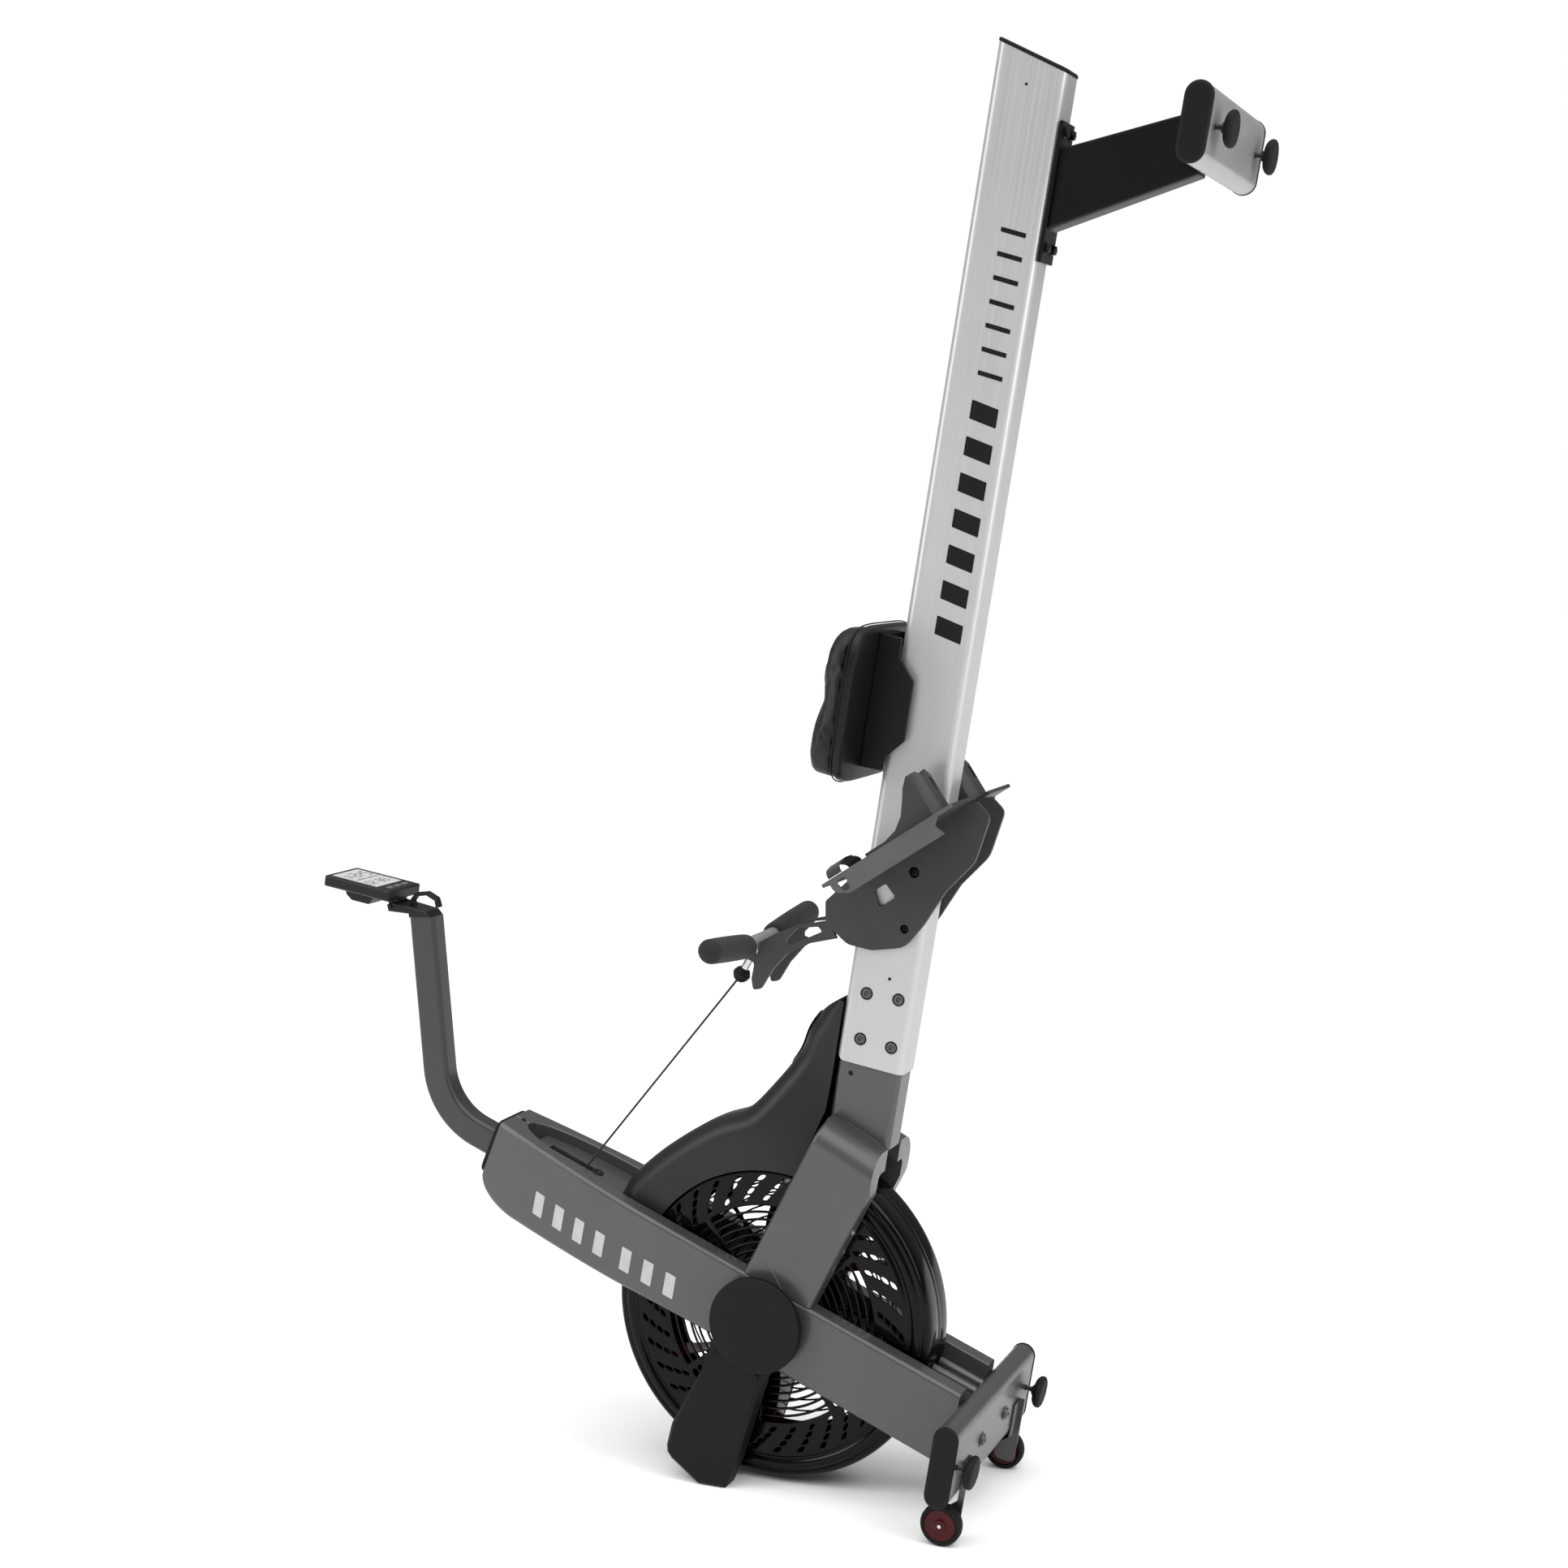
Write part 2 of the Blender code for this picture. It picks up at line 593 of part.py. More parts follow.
def build_monitor():
    last = Vector((math.cos(MAST_DIR), math.sin(MAST_DIR)))
    across = Vector((-last.y, last.x))
    seat = Vector(MAST_TOP) + last * GAP
    corners = [seat - across * 0.020, seat + across * 0.024, seat + across * 0.024 + last * 0.007,
               Vector((TILT_AT[0] - 0.010, TILT_AT[1] + 0.004)), Vector((TILT_AT[0] + 0.001, TILT_AT[1] + 0.009)),
               Vector((TILT_AT[0] + 0.009, TILT_AT[1] - 0.004)), seat - across * 0.012 + last * 0.010]
    bracket = piece("monitor_bracket", prism([tuple(c) for c in corners], -0.024, 0.024, 0.002), BLACK_PLASTIC)
    weld(bracket, prism(hook_outline(), -0.006, 0.006), "cable_hook")
    cut(bracket, prism(rounded([(TILT_AT[0] - 0.016, TILT_AT[1] - 0.014), (TILT_AT[0] + 0.02, TILT_AT[1] - 0.014),
                                (TILT_AT[0] + 0.02, TILT_AT[1] + 0.02), (TILT_AT[0] - 0.016, TILT_AT[1] + 0.02)],
                               0.002, 1), -0.0153, 0.0153), "knuckle_slot")
    cut(bracket, rod(0.0036, (TILT_AT[0], -0.03, TILT_AT[1]), (TILT_AT[0], 0.03, TILT_AT[1]), 12), "pin_hole")
    back = SCREEN_FACE - MONITOR_THICK
    case_outline = rounded([(back, MONITOR_BASE), (SCREEN_FACE, MONITOR_BASE),
                            (SCREEN_FACE, MONITOR_BASE + MONITOR_HIGH), (back, MONITOR_BASE + MONITOR_HIGH)], 0.003, 2)
    case = piece("monitor_case", prism(case_outline, -MONITOR_HALF, MONITOR_HALF, 0.003, 1), BLACK_PLASTIC,
                 (TILT_AT[0], 0, TILT_AT[1]))
    battery = [(back - 0.018, MONITOR_BASE + 0.052), (back + 0.002, MONITOR_BASE + 0.040),
               (back + 0.002, MONITOR_BASE + 0.105), (back - 0.010, MONITOR_BASE + 0.100), (back - 0.018, MONITOR_BASE + 0.088)]
    weld(case, prism(battery, -0.034, 0.034), "battery_box")
    lug = [(TILT_AT[0] - 0.008, TILT_AT[1] - 0.006), (TILT_AT[0], TILT_AT[1] - 0.009), (back + 0.002, TILT_AT[1] - 0.009),
           (back + 0.002, TILT_AT[1] + 0.012), (TILT_AT[0] - 0.004, TILT_AT[1] + 0.009)]
    weld(case, prism(lug, -0.015, 0.015), "tilt_lug")
    weld(case, rod(0.0033, (TILT_AT[0], -0.027, TILT_AT[1]), (TILT_AT[0], 0.027, TILT_AT[1]), 12), "tilt_pin")
    cut(case, block((SCREEN_FACE - 0.002, -0.0425, MONITOR_BASE + 0.034),
                    (SCREEN_FACE + 0.01, 0.0425, MONITOR_BASE + 0.131)), "window")
    for index, y in enumerate((-0.024, 0.0, 0.024)):
        cut(case, block((SCREEN_FACE - 0.007, y - 0.0083, MONITOR_BASE + 0.0117),
                        (SCREEN_FACE + 0.01, y + 0.0083, MONITOR_BASE + 0.0223)), f"button_well_{index}")
        spot = (SCREEN_FACE, y, MONITOR_BASE + 0.017)
        piece(f"monitor_button_{index + 1}",
              block((SCREEN_FACE - 0.0045, y - 0.008, MONITOR_BASE + 0.012),
                    (SCREEN_FACE + 0.0018, y + 0.008, MONITOR_BASE + 0.022), 0.001), BUTTON_GREY, spot)
    glass = block((SCREEN_FACE - 0.0017, -0.042, MONITOR_BASE + 0.0345), (SCREEN_FACE - 0.0003, 0.042, MONITOR_BASE + 0.1305))
    piece("monitor_screen", glass, BUTTON_GREY, smooth=0.0)


build_mast()
build_monitor()

# ---------------------------------------------------------------- cross bars, caps, feet, wheels


def flat_bar(name, middle, half, thick, reach, mat):
    """Flat-oval tube across the machine, open ends, 3 mm wall."""
    outline = [(middle[0] + x, middle[1] + z) for x, z in oval(half, thick)]
    bar = piece(name, prism(outline, -reach, reach), mat)
    inside = [(middle[0] + x, middle[1] + z) for x, z in oval(half - BAR_WALL, thick - 2 * BAR_WALL)]
    cut(bar, prism(inside, -reach - 0.01, reach + 0.01), "bore")
    return bar


def bar_caps(prefix, middle, half, thick, reach):
    """Push-in end caps with a shallow dome."""
    def ring(grow_by, y):
        return [(middle[0] + x, y, middle[1] + z) for x, z in oval(half + grow_by, thick + 2 * grow_by)]
    rings = [ring(-BAR_WALL - 0.0006, -reach + 0.008), ring(-BAR_WALL - 0.0006, -reach - GAP), ring(0.001, -reach - GAP),
             ring(0.001, -reach - BAR_CAP * 0.6), ring(-0.005, -reach - BAR_CAP)]
    for side, turn in (("left", lambda bm: bm), ("right", mirrored)):
        piece(f"{prefix}_cap_{side}", turn(loft(rings)), BLACK_PLASTIC)


def levelling_foot(name, middle, thick, y):
    """Threaded stem with a rubber puck; it screws up and down in the bar."""
    under = middle[1] - thick / 2
    top = under - PUCK_DROP
    profile = [(0.0, under + 0.016), (STEM_R, under + 0.016), (STEM_R, top), (0.016, top), (PUCK_R - 0.003, top - 0.003),
               (PUCK_R, top - 0.007), (PUCK_R, top - PUCK_THICK + 0.002), (PUCK_R - 0.002, top - PUCK_THICK), (0.0, top - PUCK_THICK)]
    bm = bmesh.new()
    verts = [bm.verts.new((radius, 0, z)) for radius, z in profile]
    edges = [bm.edges.new((verts[i], verts[i + 1])) for i in range(len(verts) - 1)]
    bmesh.ops.spin(bm, geom=verts + edges, cent=(0, 0, 0), axis=(0, 0, 1), angle=2 * math.pi, steps=18, use_merge=True)
    bmesh.ops.remove_doubles(bm, verts=bm.verts[:], dist=1e-6)
    bmesh.ops.recalc_face_normals(bm, faces=bm.faces)
    bmesh.ops.translate(bm, vec=(middle[0], y, 0), verts=bm.verts[:])
    piece(name, bm, RUBBER, (middle[0], y, top))


def stem_hole(bar, middle, thick, y, label):
    under = middle[1] - thick / 2
    cut(bar, rod(STEM_R + 0.0005, (middle[0], y, under - 0.01), (middle[0], y, under + 0.012), 12), label)


def build_front_end():
    bar = flat_bar("front_bar", FRONT_BAR_MID, FRONT_BAR_HALF, FRONT_BAR_THICK, FRONT_BAR_REACH, FRAME_PAINT)
    for index, y in enumerate((-0.018, 0.018)):
        low = along_beam(-0.372, 0.047)
        high = along_beam(-GUARD_R + 0.0025, 0.047)
        weld(bar, rod(0.008, (low[0], y, low[1]), (high[0], y, high[1]), 10), f"guard_stay_{index}")
    bar_caps("front_bar", FRONT_BAR_MID, FRONT_BAR_HALF, FRONT_BAR_THICK, FRONT_BAR_REACH)
    for side, y in (("left", -FRONT_FEET_Y), ("right", FRONT_FEET_Y)):
        stem_hole(bar, FRONT_BAR_MID, FRONT_BAR_THICK, y, f"stem_hole_{side}")
        levelling_foot(f"front_foot_{side}", FRONT_BAR_MID, FRONT_BAR_THICK, y)


def build_rear_end():
    bar = flat_bar("rear_bar", REAR_BAR_MID, REAR_BAR_HALF, REAR_BAR_THICK, REAR_BAR_REACH, SILVER_PAINT)
    bar_caps("rear_bar", REAR_BAR_MID, REAR_BAR_HALF, REAR_BAR_THICK, REAR_BAR_REACH)
    for side, y in (("left", -REAR_FEET_Y), ("right", REAR_FEET_Y)):
        stem_hole(bar, REAR_BAR_MID, REAR_BAR_THICK, y, f"stem_hole_{side}")
        levelling_foot(f"rear_foot_{side}", REAR_BAR_MID, REAR_BAR_THICK, y)
    under_rail = RAIL_TOP - RAIL_HEIGHT - GAP
    on_bar = REAR_BAR_MID[1] + REAR_BAR_THICK / 2 + GAP
    sides = [(REAR_BAR_MID[0] - 0.056, on_bar), (REAR_BAR_MID[0] + 0.045, on_bar),
             (REAR_BAR_MID[0] - 0.040, under_rail - 0.003), (REAR_BAR_MID[0] - 0.165, under_rail - 0.003)]
    leg = piece("rear_leg", prism(sides, -0.025, 0.025, 0.006, 2), BLACK_STEEL)
    weld(leg, block((REAR_BAR_MID[0] - 0.213, -0.031, under_rail - 0.006), (REAR_BAR_MID[0] + 0.001, 0.031, under_rail)), "flange")
    for index, x in enumerate((-0.1905, -0.0145)):
        for y in (-0.017, 0.017):
            spot = REAR_BAR_MID[0] + x
            weld(leg, rod(0.0065, (spot, y, under_rail - 0.012), (spot, y, under_rail - 0.004), 10), f"bolt_{index}_{y > 0}")


def build_wheel(side, turn, sign):
    """Transport wheel on a pin that its chrome bracket carries."""
    x, z = WHEEL_MID
    under = FRONT_BAR_MID[1] - FRONT_BAR_THICK / 2 - GAP
    inner = WHEEL_Y - WHEEL_WIDTH / 2 - 0.006
    plate = rounded([(x + 0.105, under), (x + 0.105, under - 0.010), (x - 0.012, under - 0.010), (x - 0.013, z + 0.012),
                     (x + 0.012, z + 0.012), (x + 0.038, under)], [0, 0, 0.010, 0.010, 0.010, 0], 2)
    bracket = piece(f"wheel_bracket_{side}", turn(prism(plate, -inner, -inner + 0.004)), CHROME)
    weld(bracket, turn(block((x + 0.045, -inner + 0.001, under - 0.003), (x + 0.105, -inner + 0.034, under))), "flange")
    weld(bracket, turn(rod(WHEEL_PIN_R, (x, -inner + 0.001, z), (x, -WHEEL_Y - WHEEL_WIDTH / 2 - 0.002, z), 12)), "pin")
    bore = WHEEL_PIN_R + 0.0005
    half = WHEEL_WIDTH / 2
    y = -WHEEL_Y
    profile = [(bore, y - half + 0.001), (0.010, y - half - 0.001), (0.019, y - half + 0.001), (0.0235, y - half + 0.004),
               (0.0255, y - half + 0.001), (WHEEL_R - 0.003, y - half), (WHEEL_R, y - half + 0.004), (WHEEL_R, y + half - 0.004),
               (WHEEL_R - 0.003, y + half), (0.0255, y + half), (0.0235, y + half - 0.004), (0.012, y + half - 0.002),
               (bore, y + half - 0.002)]
    piece(f"transport_wheel_{side}", turn(turned(profile, WHEEL_MID, 20)), DARK_RED, (x, sign * WHEEL_Y, z))


build_front_end()
build_rear_end()
both_sides(build_wheel)

# ---------------------------------------------------------------- fan, guard, axle, drum


def guard_profile():
    """Half guard's section: flat side, two steps, then the rim."""
    r, w, t = GUARD_R, GUARD_HALF, GUARD_SHEET
    outer = [(0.030, -w), (r - 0.047, -w), (r - 0.042, -w + 0.004), (r - 0.012, -w + 0.002),
             (r, -w + 0.010), (r, -GAP / 2)]
    inner = [(r - t, -GAP / 2), (r - t, -w + 0.011), (r - 0.0135, -w + 0.002 + t),
             (r - 0.043, -w + 0.004 + t), (r - 0.048, -w + t), (0.030, -w + t)]
    return outer + inner


def arc_slot(r0, r1, a0, a1, steps=2):
    """Ring-shaped slot outline between two radii and two angles."""
    angles = [a0 + (a1 - a0) * step / steps for step in range(steps + 1)]
    outer = [(r1 * math.cos(angle), r1 * math.sin(angle)) for angle in angles]
    inner = [(r0 * math.cos(angle), r0 * math.sin(angle)) for angle in reversed(angles)]
    return outer + inner


def add_prism(bm, outline, sign):
    """Add one slot-shaped cutter that passes through the guard's side."""
    y0, y1 = sign * (GUARD_HALF - 0.010), sign * (GUARD_HALF + 0.010)
    face = bm.faces.new([bm.verts.new((x, y0, z)) for x, z in outline])
    made = bmesh.ops.extrude_face_region(bm, geom=[face])["geom"]
    moved = [item for item in made if isinstance(item, bmesh.types.BMVert)]
    bmesh.ops.translate(bm, vec=(0, y1 - y0, 0), verts=moved)
    bmesh.ops.recalc_face_normals(bm, faces=bm.faces)


def build_guard(side, turn, sign):
    guard = piece(f"fan_guard_{side}", turn(turned(guard_profile(), (0, 0), 36)), GLOSS_BLACK)
    slots = bmesh.new()
    for sector in range(GUARD_SECTORS):
        middle = 2 * math.pi * sector / GUARD_SECTORS
        for ring in range(GUARD_ARCS):
            r0 = GUARD_ARC_START + ring * GUARD_ARC_PITCH
            r1 = r0 + GUARD_ARC_WIDTH
            add_prism(slots, arc_slot(r0, r1, middle - GUARD_ARC_HALF, middle + GUARD_ARC_HALF), sign)
    for row in range(GUARD_ROWS):
        middle = 2 * math.pi * row / GUARD_ROWS
        add_prism(slots, arc_slot(*GUARD_ROW_SPAN, middle - GUARD_ROW_HALF, middle + GUARD_ROW_HALF, 1), sign)
    cut(guard, slots, "vents")
    if side == "right":
        corners = ((-0.026, -0.036), (0.022, -0.036), (0.022, -0.010), (-0.026, -0.010))
        window = [along_beam(GUARD_R + s, t) for s, t in corners]
        cut(guard, prism(window, 0.003, 0.040), "cord_window")


def blade_outline(angle):
    """Thin curved blade seen along the axle, from inside the hub to the tip."""
    front = []
    back = []
    for step in range(6):
        r = FAN_HUB_R - 0.006 + (FAN_BLADE_R - FAN_HUB_R + 0.006) * step / 5
        lag = 0.30 * ((r - FAN_HUB_R) / (FAN_BLADE_R - FAN_HUB_R)) ** 1.5 if r > FAN_HUB_R else 0.0
        for side, edge in ((0.0014, front), (-0.0014, back)):
            turn = angle - lag + side / r
            edge.append((r * math.cos(turn), r * math.sin(turn)))
    return front + back[::-1]


def build_fan():
    bore = BEARING_R + 0.0004
    profile = [(bore, FAN_LEFT), (FAN_HUB_R - 0.004, FAN_LEFT), (FAN_HUB_R, FAN_LEFT + 0.004),
               (FAN_HUB_R, FAN_RIGHT - 0.004), (FAN_HUB_R - 0.004, FAN_RIGHT), (bore, FAN_RIGHT)]
    fan = piece("fan_rotor", turned(profile, (0, 0), 24), DARK_RED)
    blades = bmesh.new()
    for index in range(FAN_BLADES):
        outline = blade_outline(math.radians(20) + 2 * math.pi * index / FAN_BLADES)
        face = blades.faces.new([blades.verts.new((x, FAN_LEFT + 0.001, z)) for x, z in outline])
        made = bmesh.ops.extrude_face_region(blades, geom=[face])["geom"]
        moved = [item for item in made if isinstance(item, bmesh.types.BMVert)]
        bmesh.ops.translate(blades, vec=(0, FAN_RIGHT - FAN_LEFT - 0.002, 0), verts=moved)
    bmesh.ops.recalc_face_normals(blades, faces=blades.faces)
    weld(fan, blades, "blades")
    piece("fan_axle", rod(AXLE_R, (0, -FRAME_OUTER + 0.004, 0), (0, FRAME_OUTER - 0.004, 0), 20), STEEL)
    for side, y0 in (("left", FAN_LEFT + 0.001), ("right", FAN_RIGHT - 0.013)):
        ring = [(AXLE_R + GAP, y0), (BEARING_R, y0), (BEARING_R, y0 + 0.012), (AXLE_R + GAP, y0 + 0.012)]
        piece(f"fan_bearing_{side}", turned(ring, (0, 0), 20), STEEL)
    y0, y1 = DRUM_MID - DRUM_WIDTH / 2, DRUM_MID + DRUM_WIDTH / 2
    pitch = DRUM_R - CORD_R
    ring = [(AXLE_R + 0.0005, y0), (DRUM_R + 0.006, y0), (DRUM_R + 0.006, y0 + 0.003), (pitch, y0 + 0.003), (pitch, y1 - 0.003),
            (DRUM_R + 0.006, y1 - 0.003), (DRUM_R + 0.006, y1), (AXLE_R + 0.0005, y1)]
    piece("cord_drum", turned(ring, (0, 0), 24), BLACK_STEEL)


def build_hub(side, turn, sign):
    """Storage foot with the round boss that bolts to the hub, and the cap over it."""
    def low(z):
        return (-HUB_HEIGHT - z * math.sin(STORAGE_LEAN)) / math.cos(STORAGE_LEAN)

    corners = [(-0.062, 0.071), (-0.2207, 0.1266), (-0.276, 0.131), (low(0.062), 0.062), (low(0.012), 0.012),
               (-0.2568, 0.0003), (-0.107, -0.0223), (-0.083, -0.022)]
    outline = rounded(corners, [0, 0.05, 0.022, 0.0, 0.0, 0.03, 0, 0], 2)
    foot = piece(f"storage_foot_{side}", turn(prism(outline, -FOOT_OUTER, -FOOT_INNER, 0.006, 1)), BLACK_PLASTIC)
    weld(foot, turn(rod(0.068, (0, -FOOT_OUTER, 0), (0, -FRAME_OUTER - GAP, 0), 32)), "boss")
    web = [(-0.010, 0.066), (-0.115, 0.088), (-0.115, -0.0195), (-0.010, -0.066)]
    weld(foot, turn(prism(web, -FOOT_OUTER + 0.002, -FRAME_OUTER - GAP)), "web")
    r, y = HUB_CAP_R, -FOOT_OUTER - GAP
    profile = [(0.0, y), (r - 0.001, y), (r, y - 0.001), (r, y - HUB_CAP_THICK + 0.003), (r - 0.003, y - HUB_CAP_THICK),
               (0.0, y - HUB_CAP_THICK)]
    bm = bmesh.new()
    verts = [bm.verts.new((radius, depth, 0)) for radius, depth in profile]
    edges = [bm.edges.new((verts[i], verts[i + 1])) for i in range(len(verts) - 1)]
    bmesh.ops.spin(bm, geom=verts + edges, cent=(0, 0, 0), axis=(0, 1, 0), angle=2 * math.pi, steps=40, use_merge=True)
    bmesh.ops.remove_doubles(bm, verts=bm.verts[:], dist=1e-6)
    bmesh.ops.recalc_face_normals(bm, faces=bm.faces)
    piece(f"hub_cap_{side}", turn(bm), BLACK_PLASTIC)


both_sides(build_guard)
build_fan()
both_sides(build_hub)

# ---------------------------------------------------------------- shroud over the guard
SHROUD_CREST = ((0.1221, 0.3135), (0.150, 0.305), (0.176, 0.2886), (0.222, 0.250), (0.271, 0.199), (0.302, 0.159),
                (0.334, 0.1065), (0.392, 0.0663), (0.451, 0.0357), (0.498, 0.024), (0.5336, 0.0036), (0.5605, -0.0256))


def taper(x):
    """Half width of the shroud: full over the guard, as narrow as the rail at its tip."""
    blend = max(0.0, min(1.0, (x - TAPER_FROM) / (TAPER_TO - TAPER_FROM)))
    return 1.0 + (RAIL_WIDTH / 2 / SHROUD_HALF - 1.0) * blend


def narrow(bm):
    """Slice the body across and draw every section in by the taper."""
    for x in (TAPER_FROM, TAPER_TO):
        everything = bm.verts[:] + bm.edges[:] + bm.faces[:]
        bmesh.ops.bisect_plane(bm, geom=everything, plane_co=(x, 0, 0), plane_no=(1, 0, 0))
    for vert in bm.verts:
        vert.co.y *= taper(vert.co.x)


def build_shroud():
    under = RAIL_TOP + GAP
    rest = [(0.562, under), (0.372, under)]
    angles = [math.radians(degrees) for degrees in (-2, 10, 22, 34, 46, 58, 66)]
    arc = [(SHROUD_EDGE_R * math.cos(angle), SHROUD_EDGE_R * math.sin(angle)) for angle in angles]
    start = along_beam(GUARD_R + 0.001, OUTLET_T + 0.0025)
    outline = list(SHROUD_CREST) + rest + arc + [start]
    outer = prism(outline, -SHROUD_HALF, SHROUD_HALF)
    crest = {(round(x, 5), round(z, 5)) for x, z in SHROUD_CREST}
    rims = [edge for edge in outer.edges
            if abs(edge.verts[0].co.y - edge.verts[1].co.y) < 1e-6
            and all((round(v.co.x, 5), round(v.co.z, 5)) in crest for v in edge.verts)]
    bmesh.ops.bevel(outer, geom=rims, offset=0.018, segments=3, profile=0.5,
                    affect="EDGES", clamp_overlap=True, material=-1)
    narrow(outer)
    shroud = piece("shroud", outer, SHROUD_PLASTIC)
    wall = SHROUD_WALL
    inset = []
    crest_points = [Vector(point) for point in SHROUD_CREST]
    for index, point in enumerate(crest_points):
        before = crest_points[max(index - 1, 0)]
        after = crest_points[min(index + 1, len(crest_points) - 1)]
        way = (after - before).normalized()
        inset.append(point + Vector((-abs(way.y), -abs(way.x))) * (wall * 1.3))
    inside = [tuple(point) for point in inset[1:-1]]
    inside += [(0.548, under - 0.02), (0.35, under - 0.02), (0.15, -0.05), (0.0, 0.1), (0.07, 0.30)]
    inner = prism(inside, -SHROUD_HALF + wall, SHROUD_HALF - wall)
    crest = {(round(point[0], 5), round(point[1], 5)) for point in inside[:len(inset) - 2]}
    rims = [edge for edge in inner.edges
            if abs(edge.verts[0].co.y - edge.verts[1].co.y) < 1e-6
            and all((round(v.co.x, 5), round(v.co.z, 5)) in crest for v in edge.verts)]
    bmesh.ops.bevel(inner, geom=rims, offset=0.0165, segments=3, profile=0.5,
                    affect="EDGES", clamp_overlap=True, material=-1)
    narrow(inner)
    cut(shroud, inner, "hollow")
    clear = 0.002
    corners = [(0.02, -ARM_HALF - clear), (ARM_SHOULDER + clear, -ARM_HALF - clear),
               (ARM_SHOULDER + clear, ARM_HALF + clear), (0.02, ARM_HALF + clear)]
    lean = Matrix.Rotation(-ARM_LEAN, 2)
    cut(shroud, prism([tuple(lean @ Vector(point)) for point in corners], -0.10, 0.10), "arm_clearance")


build_shroud()

# ---------------------------------------------------------------- footrests, heel cups, straps


def build_footrest(side, turn, sign):
    inner = -RAIL_WIDTH / 2 - GAP
    outline = rounded([(0.7217, 0.0193), (0.6855, 0.0134), (0.6588, -0.030), (0.6588, -0.074),
                       (0.6760, -0.128), (0.7207, -0.1552), (0.7829, -0.1826), (0.8400, -0.2230),
                       (0.9190, -0.2360), (0.9378, -0.2103), on_tray(0.205, -0.003), on_tray(0.0, -0.003)],
                      [0.008, 0.02, 0.03, 0.03, 0.03, 0.05, 0.05, 0.05, 0.015, 0.002, 0, 0], 3)
    rest = piece(f"footrest_{side}", turn(prism(outline, inner - PLATE_THICK, inner)), FOOT_PLASTIC)
    tray = [on_tray(-TRAY_FRONT, 0), on_tray(TRAY_LENGTH, 0),
            on_tray(TRAY_LENGTH, -TRAY_THICK), on_tray(-TRAY_FRONT, -TRAY_THICK)]
    weld(rest, turn(prism(tray, -TRAY_OUTER, inner - 0.001)), "tray")
    flange = rounded([on_tray(-0.022, -0.003), on_tray(0.197, -0.003), on_tray(0.182, -FLANGE_DEEP * 0.55),
                      on_tray(0.190, -FLANGE_DEEP - TRAY_THICK), on_tray(0.0, -FLANGE_DEEP - TRAY_THICK), on_tray(-0.022, -0.022)],
                     [0, 0, 0.006, 0.002, 0.010, 0.012], 2)
    weld(rest, turn(prism(flange, -TRAY_OUTER - 0.0005, -TRAY_OUTER + 0.004)), "flange")
    toe_slot = rounded([on_tray(-0.012, -0.008), on_tray(0.008, -0.008),
                        on_tray(0.006, -0.030), on_tray(-0.006, -0.028)], 0.004, 2)
    cut(rest, turn(prism(toe_slot, -TRAY_OUTER - 0.01, -TRAY_OUTER + 0.01)), "toe_slot")
    horn = rounded([(0.690, 0.010), (0.6701, 0.0603), (0.6472, 0.0982), (0.6260, 0.1240), (0.6036, 0.1255),
                    (0.6034, 0.1480), (0.5930, 0.1470), (0.5900, 0.1280), (0.5611, 0.1290), (0.5427, 0.1230),
                    (0.5483, 0.1091), (0.5846, 0.0940), (0.6180, 0.0726), (0.6420, 0.0424), (0.6640, -0.010)],
                   [0, 0.02, 0.004, 0.004, 0.003, 0.003, 0.003, 0.006, 0.004, 0.004, 0.006, 0.02, 0.02, 0.02, 0], 2)
    weld(rest, turn(prism(horn, inner - PLATE_THICK + 0.0005, inner - 0.0005)), "handle_hook")
    gap_in_hook = rounded([(0.6650, 0.0610), (0.6150, 0.0965), (0.6480, 0.0480), (0.6680, 0.0150), (0.6760, 0.0250)],
                          [0.004, 0.006, 0.02, 0.004, 0.004], 2)
    cut(rest, turn(prism(gap_in_hook, inner - 0.02, inner + 0.01)), "hook_opening")
    window = rounded([(0.7575, -0.0620), (0.7740, -0.0790), (0.7551, -0.1000), (0.7316, -0.0755)], 0.003, 1)
    cut(rest, turn(prism(window, inner - 0.02, inner + 0.01)), "window")
    for index, (x, z, r) in enumerate(((0.8024, -0.1243, 0.0095), (0.7064, -0.1235, 0.0078))):
        cut(rest, turn(rod(r, (x, inner - 0.02, z), (x, inner + 0.01, z), 12)), f"hole_{index}")


def tray_solid(plan, h0, h1):
    """Plan outline of (s, y) points on the tray, extruded from height h0 to h1."""
    low = [(*on_tray(s, h0), y) for s, y in plan]
    high = [(*on_tray(s, h1), y) for s, y in plan]
    return loft([[(x, y, z) for x, z, y in ring] for ring in (low, high)])


def heel_plan(inset, front):
    """Sole outline: straight sides and a round back."""
    half = HEEL_HALF - inset
    middle = HEEL_BACK - HEEL_HALF
    plan = [(front, STRAP_MID - half), (front, STRAP_MID + half)]
    for step in range(7):
        angle = math.pi / 2 - math.pi * step / 6
        plan.append((middle + half * math.cos(angle), STRAP_MID + half * math.sin(angle)))
    return plan


